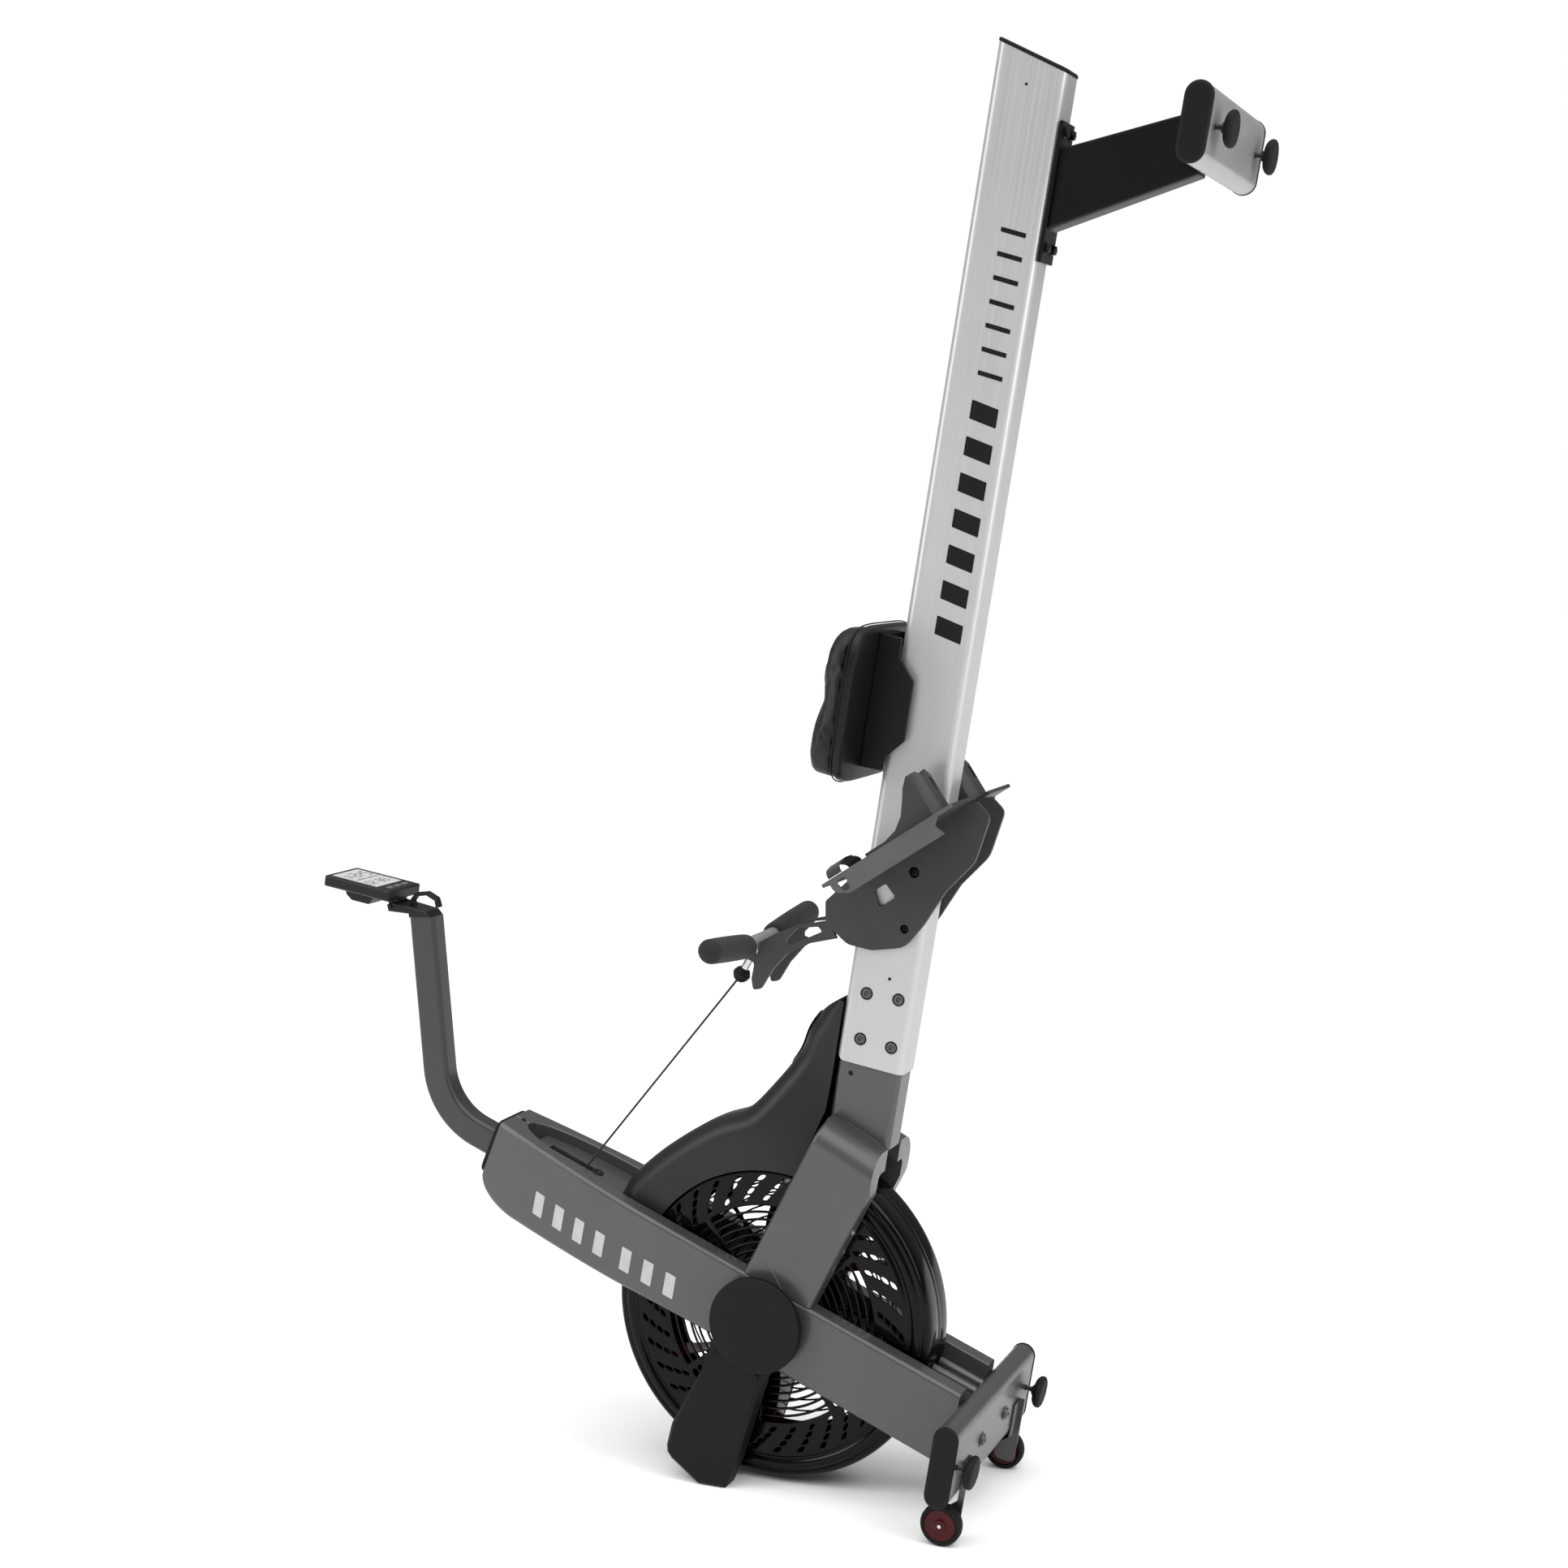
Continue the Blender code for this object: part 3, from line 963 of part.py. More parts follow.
def build_heel_cup(side, turn, sign):
    """Cup that slides on the tray: flat sole, low sides and a tall round back."""
    front = HEEL_BACK - HEEL_LENGTH
    cup = piece(f"heel_cup_{side}", turn(tray_solid(heel_plan(0.0, front), GAP, HEEL_HIGH)), FOOT_PLASTIC)
    cut(cup, turn(tray_solid(heel_plan(HEEL_WALL, front - 0.01), GAP + 0.004, HEEL_HIGH + 0.01)), "foot_space")
    over = [(front - 0.01, 0.006), (front + 0.040, 0.006), (front + 0.065, 0.012), (front + 0.085, 0.026),
            (front + 0.100, 0.045), (front + 0.112, 0.062), (front + 0.124, HEEL_HIGH - 0.001),
            (front + 0.135, HEEL_HIGH + 0.01), (front - 0.01, HEEL_HIGH + 0.01)]
    cut(cup, turn(prism([on_tray(s, h) for s, h in over], -0.16, -0.03)), "side_sweep")
    slope = [(HEEL_BACK + 0.001, 0.050), (HEEL_BACK - 0.012, HEEL_HIGH + 0.001), (HEEL_BACK + 0.01, HEEL_HIGH + 0.001)]
    cut(cup, turn(prism([on_tray(s, h) for s, h in slope], -0.16, -0.03)), "back_slope")
    eye = [(STRAP_MID + 0.008 * math.cos(a), 0.046 + 0.014 * math.sin(a)) for a in [math.pi * k / 4 for k in range(8)]]
    near = [(*on_tray(HEEL_BACK - 0.030, h), y) for y, h in eye]
    far = [(*on_tray(HEEL_BACK + 0.010, h), y) for y, h in eye]
    cut(cup, turn(loft([[(x, y, z) for x, z, y in ring] for ring in (near, far)])), "eye")


def build_strap(side, turn, sign):
    """Toe strap: a band that arches over the foot between the tray's two edges."""
    rings = []
    steps = 10
    for step in range(steps + 1):
        angle = math.pi * step / steps
        ring = []
        for s, thick in ((0.0, 0.0), (STRAP_WIDTH, 0.0), (STRAP_WIDTH, STRAP_THICK), (0.0, STRAP_THICK)):
            y = STRAP_MID - (STRAP_REACH + thick) * math.cos(angle)
            x, z = on_tray(STRAP_START + s, GAP + (STRAP_RISE + thick) * math.sin(angle) ** 0.6)
            ring.append((x, y, z))
        rings.append(ring)
    piece(f"toe_strap_{side}", turn(loft(rings)), WEBBING)


both_sides(build_footrest)
both_sides(build_heel_cup)
both_sides(build_strap)

# ---------------------------------------------------------------- handle and cords


def build_handle():
    x, z = BAR_AT
    ends = GRIP_END - 0.006
    rings = []
    for y in (-ends, -GRIP_START - 0.002, GRIP_START + 0.002, ends):
        back = math.tan(GRIP_SWEEP) * max(0.0, abs(y) - GRIP_START)
        rings.append([(x + back + BAR_R * math.cos(a), y, z + BAR_R * math.sin(a))
                      for a in [2 * math.pi * k / 14 for k in range(14)]])
    bar = piece("handle_bar", loft(rings), SILVER_PAINT, (x, 0, z))
    stem = Vector(BALL_AT) - Vector(BAR_AT)
    weld(bar, rod(0.007, (x, 0, z), (x + stem.x * 0.84, 0, z + stem.y * 0.84), 12), "stem")
    ball = bmesh.new()
    bmesh.ops.create_uvsphere(ball, u_segments=16, v_segments=10, radius=BALL_R)
    bmesh.ops.rotate(ball, cent=(0, 0, 0), matrix=Matrix.Rotation(math.pi / 2, 3, "X"), verts=ball.verts[:])
    bmesh.ops.translate(ball, vec=(BALL_AT[0], 0, BALL_AT[1]), verts=ball.verts[:])
    knob = piece("cord_fitting", ball, RUBBER, (x, 0, z))
    cut(knob, rod(0.0074, (x, 0, z), (x + stem.x * 0.85, 0, z + stem.y * 0.85), 12), "stem_socket")
    for side, sign in (("left", -1), ("right", 1)):
        rings = []
        for y, radius in ((GRIP_START, GRIP_R - 0.002), (GRIP_START + 0.006, GRIP_R), (0.150, GRIP_R + 0.001),
                          (GRIP_END - 0.008, GRIP_R), (GRIP_END - 0.001, GRIP_R - 0.006), (GRIP_END + 0.001, 0.006)):
            back = math.tan(GRIP_SWEEP) * max(0.0, y - GRIP_START)
            rings.append([(x + back + radius * math.cos(a), -y, z + radius * math.sin(a))
                          for a in [2 * math.pi * k / 16 for k in range(16)]])
        bm = loft(rings)
        grip = piece(f"handle_grip_{side}", bm if sign < 0 else mirrored(bm), RUBBER, (x, 0, z))
        bore = []
        clear = BAR_R + 0.0006
        for y in (GRIP_START - 0.003, GRIP_END - 0.0055):
            back = math.tan(GRIP_SWEEP) * (y - GRIP_START)
            bore.append([(x + back + clear * math.cos(a), -y, z + clear * math.sin(a))
                         for a in [2 * math.pi * k / 14 for k in range(14)]])
        bm = loft(bore)
        cut(grip, bm if sign < 0 else mirrored(bm), "bar_bore")


def build_cords():
    """Taut cord from the handle to the outlet, then round the pulley to the drum inside."""
    x, z = BALL_AT
    start = Vector((x, z)) + CORD_PULL * (BALL_R + GAP)
    end = Vector((OUTLET.x, OUTLET.y)) - CORD_PULL * 0.0075
    piece("pull_cord", rod(CORD_R, (start.x, 0, start.y), (end.x, 0, end.y), 8), CORD_NYLON)
    begin = end + CORD_PULL * GAP * 2
    centre = Vector(PULLEY_AT)
    arm0 = GROOVE_TOUCH - centre
    drum_low = Vector(along_beam(0.0, -DRUM_R - 0.0004))
    leave = Vector(along_beam(0, -1)).normalized()
    points = [(begin.x, 0.0, begin.y)]
    steps = 7
    spread = arm0.angle(leave)
    turn = math.copysign(1.0, arm0.cross(leave))
    for step in range(steps + 1):
        arm = arm0.copy()
        arm.rotate(Matrix.Rotation(turn * spread * step / steps, 2))
        spot = centre + arm.normalized() * (PULLEY_R + 0.0004)
        points.append((spot.x, 0.0, spot.y))
    last = Vector(points[-1])
    goal = Vector((drum_low.x, DRUM_MID, drum_low.y))
    for step in (0.25, 0.5, 0.75, 0.97):
        points.append(tuple(last.lerp(goal, step)))
    curve = bpy.data.curves.new("inner_cord", "CURVE")
    curve.dimensions = "3D"
    curve.bevel_depth = CORD_R
    curve.bevel_resolution = 1
    curve.use_fill_caps = True
    spline = curve.splines.new("POLY")
    spline.points.add(len(points) - 1)
    for slot, point in zip(spline.points, points):
        slot.co = (*point, 1.0)
    curve.materials.append(CORD_NYLON)
    inner = bpy.data.objects.new("inner_cord", curve)
    bpy.context.collection.objects.link(inner)
    inner.parent = LEAN


CORD_PULL = (Vector((OUTLET.x, OUTLET.y)) - Vector(BALL_AT)).normalized()
GROOVE_TOUCH = PULLEY_AT - Vector((-CORD_PULL.y, CORD_PULL.x)) * PULLEY_R

build_handle()
build_cords()

# ---------------------------------------------------------------- seat


def pad_ring(grow_by, z, dip):
    """Plan outline of the seat pad at one height, hollowed for the sitter by dip."""
    middle = (SEAT_FRONT + SEAT_BACK) / 2
    half_x = (SEAT_BACK - SEAT_FRONT) / 2 + grow_by
    half_y = SEAT_HALF + grow_by
    ring = []
    for step in range(28):
        angle = 2 * math.pi * step / 28
        c, s = math.cos(angle), math.sin(angle)
        px = math.copysign(abs(c) ** 0.42, c) * half_x
        py = math.copysign(abs(s) ** 0.38, s) * half_y
        sag = dip * (abs(py) / SEAT_HALF) ** 2 + 0.012 * max(0.0, -px / half_x) * (1.0 if dip else 0.0)
        ring.append((middle + px, py, z + sag))
    return ring


def build_seat():
    z0 = SEAT_UNDER
    top = z0 + SEAT_THICK
    rings = [pad_ring(-0.006, z0, 0.0), pad_ring(-0.001, z0 + 0.005, 0.0), pad_ring(0.0, z0 + 0.020, 0.0),
             pad_ring(-0.002, top - 0.016, 0.002), pad_ring(-0.014, top - 0.004, 0.004), pad_ring(-0.045, top, 0.002)]
    piece("seat_pad", loft(rings), SEAT_FOAM)
    outline = rounded([(0.956, z0 - GAP), (0.956, -0.0445), (0.979, -0.046), (1.0115, -0.0745),
                       (1.1090, -0.0745), (1.1445, -0.044), (1.1750, -0.044), (1.1750, z0 - GAP)],
                      [0, 0.003, 0.006, 0.006, 0.006, 0.006, 0.003, 0], 2)
    carriage = piece("seat_carriage", prism(outline, -CARRIAGE_HALF, CARRIAGE_HALF, 0.0012, 1), BLACK_PLASTIC)
    inner = CARRIAGE_HALF - CARRIAGE_WALL
    cut(carriage, block((0.94, -inner, -0.2), (1.20, inner, z0 - GAP - 0.0055)), "rail_channel")
    for label, x in (("front", 0.992), ("rear", 1.140)):
        zc = RAIL_TOP + ROLLER_R + GAP
        profile = [(0.0, -inner + GAP), (0.004, -inner + GAP), (0.004, -0.030), (ROLLER_R, -0.030),
                   (ROLLER_R, -0.012), (0.004, -0.012), (0.004, 0.012), (ROLLER_R, 0.012),
                   (ROLLER_R, 0.030), (0.004, 0.030), (0.004, inner - GAP), (0.0, inner - GAP)]
        bm = bmesh.new()
        verts = [bm.verts.new((x + radius, y, zc)) for radius, y in profile]
        edges = [bm.edges.new((verts[i], verts[i + 1])) for i in range(len(verts) - 1)]
        bmesh.ops.spin(bm, geom=verts + edges, cent=(x, 0, zc), axis=(0, 1, 0), angle=2 * math.pi, steps=16, use_merge=True)
        bmesh.ops.remove_doubles(bm, verts=bm.verts[:], dist=1e-6)
        bmesh.ops.recalc_face_normals(bm, faces=bm.faces)
        piece(f"seat_roller_{label}", bm, STEEL, (x, 0, zc))


build_seat()
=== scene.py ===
"""Looks of a rowing machine with an air fan, stored upright on its front end.

Pieces are drawn in the machine's own frame, X back along the rail, Y to the rower's right and Z up
when somebody rows, from the middle of the fan axle.  They are then carried into the model's frame.
"""

import json
import math

import bmesh
import bpy
from mathutils import Matrix, Vector


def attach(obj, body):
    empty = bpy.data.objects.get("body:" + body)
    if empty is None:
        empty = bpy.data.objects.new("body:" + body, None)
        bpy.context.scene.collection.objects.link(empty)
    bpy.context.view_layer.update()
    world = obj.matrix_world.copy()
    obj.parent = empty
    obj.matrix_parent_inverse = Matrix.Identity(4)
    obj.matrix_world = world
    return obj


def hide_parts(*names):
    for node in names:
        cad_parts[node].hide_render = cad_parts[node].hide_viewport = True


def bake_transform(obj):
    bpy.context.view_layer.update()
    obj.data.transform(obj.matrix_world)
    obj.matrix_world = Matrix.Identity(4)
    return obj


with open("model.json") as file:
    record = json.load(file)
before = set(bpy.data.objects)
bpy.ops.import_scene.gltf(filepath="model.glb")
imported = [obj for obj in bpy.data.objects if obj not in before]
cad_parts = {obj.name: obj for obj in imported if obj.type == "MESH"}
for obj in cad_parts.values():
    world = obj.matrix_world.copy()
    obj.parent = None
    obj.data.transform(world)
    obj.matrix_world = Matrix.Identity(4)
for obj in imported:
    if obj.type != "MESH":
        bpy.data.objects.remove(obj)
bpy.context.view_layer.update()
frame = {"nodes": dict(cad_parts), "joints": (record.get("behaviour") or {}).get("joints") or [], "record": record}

# ---------------------------------------------------------------- the machine's own frame


def joint(name):
    return next(item for item in frame["joints"] if item["name"] == name)


HUB = Vector(joint("fan_spin")["pos_m"])
ALONG = Vector(joint("seat_slide")["axis"]).normalized()
ACROSS = Vector((0.0, 1.0, 0.0))
RISE = ALONG.cross(ACROSS)
TO_WORLD = Matrix.Translation(HUB) @ Matrix((ALONG, ACROSS, RISE)).transposed().to_4x4()
TO_MACHINE = TO_WORLD.inverted()
BODY_OF = {node: body for body, nodes in frame["record"]["behaviour"]["bodies"].items() for node in nodes}


def span(node):
    """Lowest and highest corner of a CAD node in the machine's frame."""
    points = [TO_MACHINE @ vert.co for vert in frame["nodes"][node].data.vertices]
    return (Vector([min(point[axis] for point in points) for axis in range(3)]),
            Vector([max(point[axis] for point in points) for axis in range(3)]))


# ---------------------------------------------------------------- dimensions shared with the CAD (metres)
GAP = 0.0003
RAIL_LOW, RAIL_HIGH = span("rail")
RAIL_CORNER = 0.014
RAIL_WALL = 0.0038
RAIL_SLANT = 0.040
FRAME_OUTER = 0.093
FRAME_INNER = 0.058
FRAME_ROUND = 0.008
BEAM_LEAN = math.radians(13.0)
BEAM_TOP_T = 0.065
BEAM_LOW_T = -0.066
HEAD_LOW_T = -0.083
HEAD_END = 0.585
ARM_LEAN = math.radians(18.0)
ARM_HALF = 0.0655
ARM_SHOULDER = 0.364
ARM_WALL = 0.036
GUARD_R = 0.288
GUARD_HALF = 0.052
SHROUD_HALF = 0.0565
SHROUD_WALL = 0.0028
SHROUD_EDGE_R = 0.2505
OUTLET_T = 0.046
TRAY_ANGLE = math.radians(-47.7)
TRAY_TOE = (0.795, -0.035)
STRAP_MID = -0.0965
MAST_TOP = Vector((0.512, 0.787))
MAST_ANGLE = math.atan2(0.065, 0.2625)
SHROUD_CREST = ((0.1221, 0.3135), (0.150, 0.305), (0.176, 0.2886), (0.222, 0.250), (0.271, 0.199),
                (0.302, 0.159), (0.334, 0.1065), (0.392, 0.0663), (0.451, 0.0357), (0.498, 0.024),
                (0.5336, 0.0036), (0.5605, -0.0256))

# ---------------------------------------------------------------- shader building


def add(tree, kind, inputs=None, **settings):
    """New shader node; an input takes a plain value or another node's output."""
    made = tree.nodes.new(kind)
    for key, value in settings.items():
        setattr(made, key, value)
    for key, value in (inputs or {}).items():
        if isinstance(value, bpy.types.NodeSocket):
            tree.links.new(value, made.inputs[key])
        else:
            made.inputs[key].default_value = value
    return made


def tone(red, green, blue):
    """Linear colour of a paint chip given in display steps from 0 to 255."""
    linear = [((step / 255 + 0.055) / 1.055) ** 2.4 if step > 10 else step / 255 / 12.92
              for step in (red, green, blue)]
    return (*linear, 1.0)


def scaled(colour, factor):
    return tuple(min(1.0, part * factor) for part in colour[:3]) + (1.0,)


def new_group(name, inputs, outputs):
    tree = bpy.data.node_groups.new(name, "ShaderNodeTree")
    for label, kind in inputs:
        tree.interface.new_socket(label, in_out="INPUT", socket_type=kind)
    for label, kind in outputs:
        tree.interface.new_socket(label, in_out="OUTPUT", socket_type=kind)
    return tree, tree.nodes.new("NodeGroupInput").outputs, tree.nodes.new("NodeGroupOutput").inputs


def surface_group():
    """Broad mottling, fine grain with its bump, and long hairline scuffs."""
    number = "NodeSocketFloat"
    tree, given, result = new_group(
        "worked_surface",
        (("Vector", "NodeSocketVector"), ("Mottle Scale", number), ("Grain Scale", number),
         ("Grain Depth", number), ("Scuffs", number)),
        (("Mottle", number), ("Grain", number), ("Scuffs", number), ("Normal", "NodeSocketVector")))
    broad = add(tree, "ShaderNodeTexNoise", {"Vector": given["Vector"], "Scale": given["Mottle Scale"],
                                             "Detail": 4.0, "Roughness": 0.6})
    even = add(tree, "ShaderNodeMapRange", {"Value": broad.outputs["Fac"], "From Min": 0.32,
                                            "From Max": 0.68})
    grain = add(tree, "ShaderNodeTexNoise", {"Vector": given["Vector"], "Scale": given["Grain Scale"],
                                             "Detail": 3.0, "Roughness": 0.65})
    drawn = add(tree, "ShaderNodeMapping", {"Vector": given["Vector"], "Rotation": (0.4, 0.9, 0.2),
                                            "Scale": (9.0, 210.0, 120.0)})
    hair = add(tree, "ShaderNodeTexNoise", {"Vector": drawn.outputs["Vector"], "Scale": 1.0, "Detail": 2.0})
    line = add(tree, "ShaderNodeMapRange", {"Value": hair.outputs["Fac"], "From Min": 0.66, "From Max": 0.76})
    marks = add(tree, "ShaderNodeMath", {0: line.outputs["Result"], 1: given["Scuffs"]}, operation="MULTIPLY")
    bump = add(tree, "ShaderNodeBump", {"Strength": 0.7, "Distance": given["Grain Depth"],
                                        "Height": grain.outputs["Fac"]})
    tree.links.new(even.outputs["Result"], result["Mottle"])
    tree.links.new(grain.outputs["Fac"], result["Grain"])
    tree.links.new(marks.outputs["Value"], result["Scuffs"])
    tree.links.new(bump.outputs["Normal"], result["Normal"])
    return tree


def rail_coordinates_group():
    """Object coordinates turned so that X runs along the rail."""
    tree, given, result = new_group("rail_way", (("Vector", "NodeSocketVector"),),
                                    (("Vector", "NodeSocketVector"),))
    lean = math.atan2(ALONG.x, ALONG.z)
    turned_way = add(tree, "ShaderNodeMapping",
                     {"Vector": given["Vector"], "Rotation": (0.0, math.pi / 2 - lean, 0.0)})
    tree.links.new(turned_way.outputs["Vector"], result["Vector"])
    return tree


SURFACE = surface_group()
RAIL_WAY = rail_coordinates_group()


def mix_colours(tree, factor, first, second):
    return add(tree, "ShaderNodeMix", {0: factor, 6: first, 7: second}, data_type="RGBA").outputs[2]


def start_material(name):
    mat = bpy.data.materials.new(name)
    mat.use_nodes = True
    tree = mat.node_tree
    return mat, tree, tree.nodes["Principled BSDF"], add(tree, "ShaderNodeTexCoord").outputs["Object"]


def finish(name, colour, roughness, metallic=0.0, vary=0.10, mottle=16.0, grain=900.0, depth=0.00004,
           scuffs=0.25, coat=0.0, sheen=0.0, gleam=0.5):
    """Painted, moulded or metal finish with mottled colour, fine grain and light scuffs."""
    mat, tree, shader, coords = start_material(name)
    surface = add(tree, "ShaderNodeGroup", {"Vector": coords, "Mottle Scale": mottle, "Grain Scale": grain,
                                            "Grain Depth": depth, "Scuffs": scuffs}, node_tree=SURFACE)
    body = mix_colours(tree, surface.outputs["Mottle"], scaled(colour, 1 - vary), scaled(colour, 1 + vary))
    worn = mix_colours(tree, surface.outputs["Scuffs"], body, scaled(colour, 1.35))
    tree.links.new(worn, shader.inputs["Base Color"])
    rough = add(tree, "ShaderNodeMapRange", {"Value": surface.outputs["Grain"], "From Min": 0.3,
                                             "From Max": 0.7,
                                             "To Min": roughness * 0.88, "To Max": roughness * 1.12})
    rubbed = add(tree, "ShaderNodeMath", {0: surface.outputs["Scuffs"], 1: 0.18, 2: rough.outputs["Result"]},
                 operation="MULTIPLY_ADD")
    tree.links.new(rubbed.outputs["Value"], shader.inputs["Roughness"])
    tree.links.new(surface.outputs["Normal"], shader.inputs["Normal"])
    shader.inputs["Metallic"].default_value = metallic
    shader.inputs["Coat Weight"].default_value = coat
    shader.inputs["Coat Roughness"].default_value = 0.12
    shader.inputs["Sheen Weight"].default_value = sheen
    shader.inputs["Specular IOR Level"].default_value = gleam
    return mat


def brushed_aluminium():
    """Anodised aluminium, drawn lengthways so that its fine lines run along the rail."""
    mat, tree, shader, coords = start_material("brushed_aluminium")
    way = add(tree, "ShaderNodeGroup", {"Vector": coords}, node_tree=RAIL_WAY)
    drawn = add(tree, "ShaderNodeMapping", {"Vector": way.outputs["Vector"], "Scale": (3.0, 900.0, 900.0)})
    lines = add(tree, "ShaderNodeTexNoise", {"Vector": drawn.outputs["Vector"], "Scale": 1.0, "Detail": 4.0})
    surface = add(tree, "ShaderNodeGroup", {"Vector": coords, "Mottle Scale": 5.0, "Grain Scale": 1400.0,
                                            "Grain Depth": 0.00001, "Scuffs": 0.3}, node_tree=SURFACE)
    clean = mix_colours(tree, surface.outputs["Mottle"], tone(172, 172, 172), tone(180, 180, 179))
    lined = mix_colours(tree, lines.outputs["Fac"], clean, tone(190, 190, 189))
    tree.links.new(lined, shader.inputs["Base Color"])
    rough = add(tree, "ShaderNodeMapRange", {"Value": lines.outputs["Fac"], "From Min": 0.3, "From Max": 0.7,
                                             "To Min": 0.36, "To Max": 0.48})
    tree.links.new(rough.outputs["Result"], shader.inputs["Roughness"])
    bump = add(tree, "ShaderNodeBump", {"Strength": 0.35, "Distance": 0.00002, "Height": lines.outputs["Fac"],
                                        "Normal": surface.outputs["Normal"]})
    tree.links.new(bump.outputs["Normal"], shader.inputs["Normal"])
    shader.inputs["Metallic"].default_value = 0.55
    return mat


def pebbled_foam():
    """Skinned foam: small pebbles with soft creases between them."""
    mat, tree, shader, coords = start_material("pebbled_foam")
    pebbles = add(tree, "ShaderNodeTexVoronoi", {"Vector": coords, "Scale": 520.0}, feature="SMOOTH_F1")
    surface = add(tree, "ShaderNodeGroup", {"Vector": coords, "Mottle Scale": 22.0, "Grain Scale": 1500.0,
                                            "Grain Depth": 0.00003, "Scuffs": 0.12}, node_tree=SURFACE)
    base = tone(17, 17, 18)
    rubbed = mix_colours(tree, surface.outputs["Mottle"], scaled(base, 0.85), scaled(base, 1.25))
    tree.links.new(rubbed, shader.inputs["Base Color"])
    bump = add(tree, "ShaderNodeBump", {"Strength": 0.5, "Distance": 0.00012,
                                        "Height": pebbles.outputs["Distance"],
                                        "Normal": surface.outputs["Normal"]})
    tree.links.new(bump.outputs["Normal"], shader.inputs["Normal"])
    shader.inputs["Roughness"].default_value = 0.45
    shader.inputs["Specular IOR Level"].default_value = 0.3
    return mat


def woven(name, colour, pitch):
    """Woven nylon from the piece's own UVs, which are in metres along and across."""
    mat, tree, shader, coords = start_material(name)
    apart = add(tree, "ShaderNodeSeparateXYZ", {"Vector": coords.node.outputs["UV"]})
    waves = []
    for part, shift in (("X", 0.0), ("Y", math.pi / 2)):
        angle = add(tree, "ShaderNodeMath", {0: apart.outputs[part], 1: 2 * math.pi / pitch, 2: shift},
                    operation="MULTIPLY_ADD")
        waves.append(add(tree, "ShaderNodeMath", {0: angle.outputs["Value"]},
                         operation="SINE").outputs["Value"])
    crossed = add(tree, "ShaderNodeMath", {0: waves[0], 1: waves[1]}, operation="MULTIPLY")
    thread = add(tree, "ShaderNodeMapRange", {"Value": crossed.outputs["Value"], "From Min": -1.0,
                                              "From Max": 1.0})
    # The weave's colour is painted shade in its low parts and painted highlight on its crowns, following the same
    # heights as its bump.
    weave_painted_shade = mix_colours(tree, thread.outputs["Result"], scaled(colour, 0.6), scaled(colour, 1.3))
    tree.links.new(weave_painted_shade, shader.inputs["Base Color"])
    bump = add(tree, "ShaderNodeBump", {"Strength": 0.8, "Distance": 0.0003,
                                        "Height": thread.outputs["Result"]})
    tree.links.new(bump.outputs["Normal"], shader.inputs["Normal"])
    shader.inputs["Roughness"].default_value = 0.78
    shader.inputs["Sheen Weight"].default_value = 0.2
    return mat


FRAME_PAINT = finish("frame_paint", tone(73, 73, 72), 0.36, metallic=0.35, vary=0.05, mottle=9.0, grain=420.0,
                     depth=0.00005, scuffs=0.12, coat=0.2)
MAST_PAINT = finish("mast_paint", tone(51, 51, 50), 0.38, metallic=0.35, vary=0.05, mottle=9.0, grain=420.0,
                    depth=0.00005, scuffs=0.12, coat=0.15)
RAIL_METAL = brushed_aluminium()
SILVER_PAINT = finish("silver_paint", tone(150, 150, 149), 0.34, metallic=0.4, vary=0.04, grain=500.0,
                      coat=0.15)
BLACK_STEEL = finish("black_steel", tone(12, 12, 12), 0.42, metallic=0.2, vary=0.15, grain=500.0,
                     depth=0.00006,
                     gleam=0.2)
MATTE_BLACK = finish("matte_black", tone(14, 14, 15), 0.58, vary=0.10, grain=1100.0, depth=0.00006,
                     scuffs=0.2,
                     gleam=0.18)
CASE_BLACK = finish("case_black", tone(12, 12, 13), 0.40, vary=0.12, grain=1400.0, depth=0.00005, gleam=0.25)
GLOSS_BLACK = finish("gloss_black", tone(3, 3, 4), 0.14, vary=0.2, grain=260.0, depth=0.00003, scuffs=0.08,
                     gleam=0.15)
SHROUD_PLASTIC = finish("shroud_plastic", tone(27, 27, 26), 0.40, vary=0.08, grain=1000.0, depth=0.00007,
                        scuffs=0.2, gleam=0.3)
REST_PLASTIC = finish("rest_plastic", tone(52, 52, 51), 0.46, vary=0.08, grain=900.0, depth=0.00008,
                      scuffs=0.4,
                      gleam=0.3)
RIM_PLASTIC = finish("rim_plastic", tone(78, 78, 77), 0.40, vary=0.08, grain=900.0, depth=0.00006, scuffs=0.5,
                     gleam=0.35)
RED_PLASTIC = finish("red_plastic", tone(62, 4, 8), 0.16, vary=0.15, grain=300.0, depth=0.00003, coat=0.1,
                     gleam=0.15)
RUBBER = finish("rubber", tone(15, 15, 15), 0.72, vary=0.2, mottle=60.0, grain=1600.0, depth=0.0001,
                scuffs=0.5,
                gleam=0.2)
GRIP_FOAM = finish("grip_foam", tone(34, 34, 33), 0.74, vary=0.28, mottle=240.0, grain=1200.0, depth=0.0002,
                   scuffs=0.9, sheen=0.08, gleam=0.2)
CHROME = finish("chrome", tone(196, 196, 196), 0.12, metallic=1.0, vary=0.04, grain=200.0, depth=0.00001)
STEEL = finish("steel", tone(130, 130, 130), 0.28, metallic=1.0, vary=0.12, mottle=90.0, grain=900.0,
               depth=0.00003)
BOLT_STEEL = finish("bolt_steel", tone(84, 84, 84), 0.34, metallic=0.8, vary=0.22, mottle=320.0, grain=1500.0,
                    depth=0.00008, scuffs=0.6)
BUTTON_GREY = finish("button_grey", tone(92, 92, 94), 0.5, vary=0.08, grain=1500.0, depth=0.00005)
SCREEN_GLASS = finish("screen_grey", tone(206, 210, 208), 0.22, vary=0.05, mottle=12.0, grain=300.0,
                      depth=0.000005,
                      scuffs=0.1, coat=0.6)
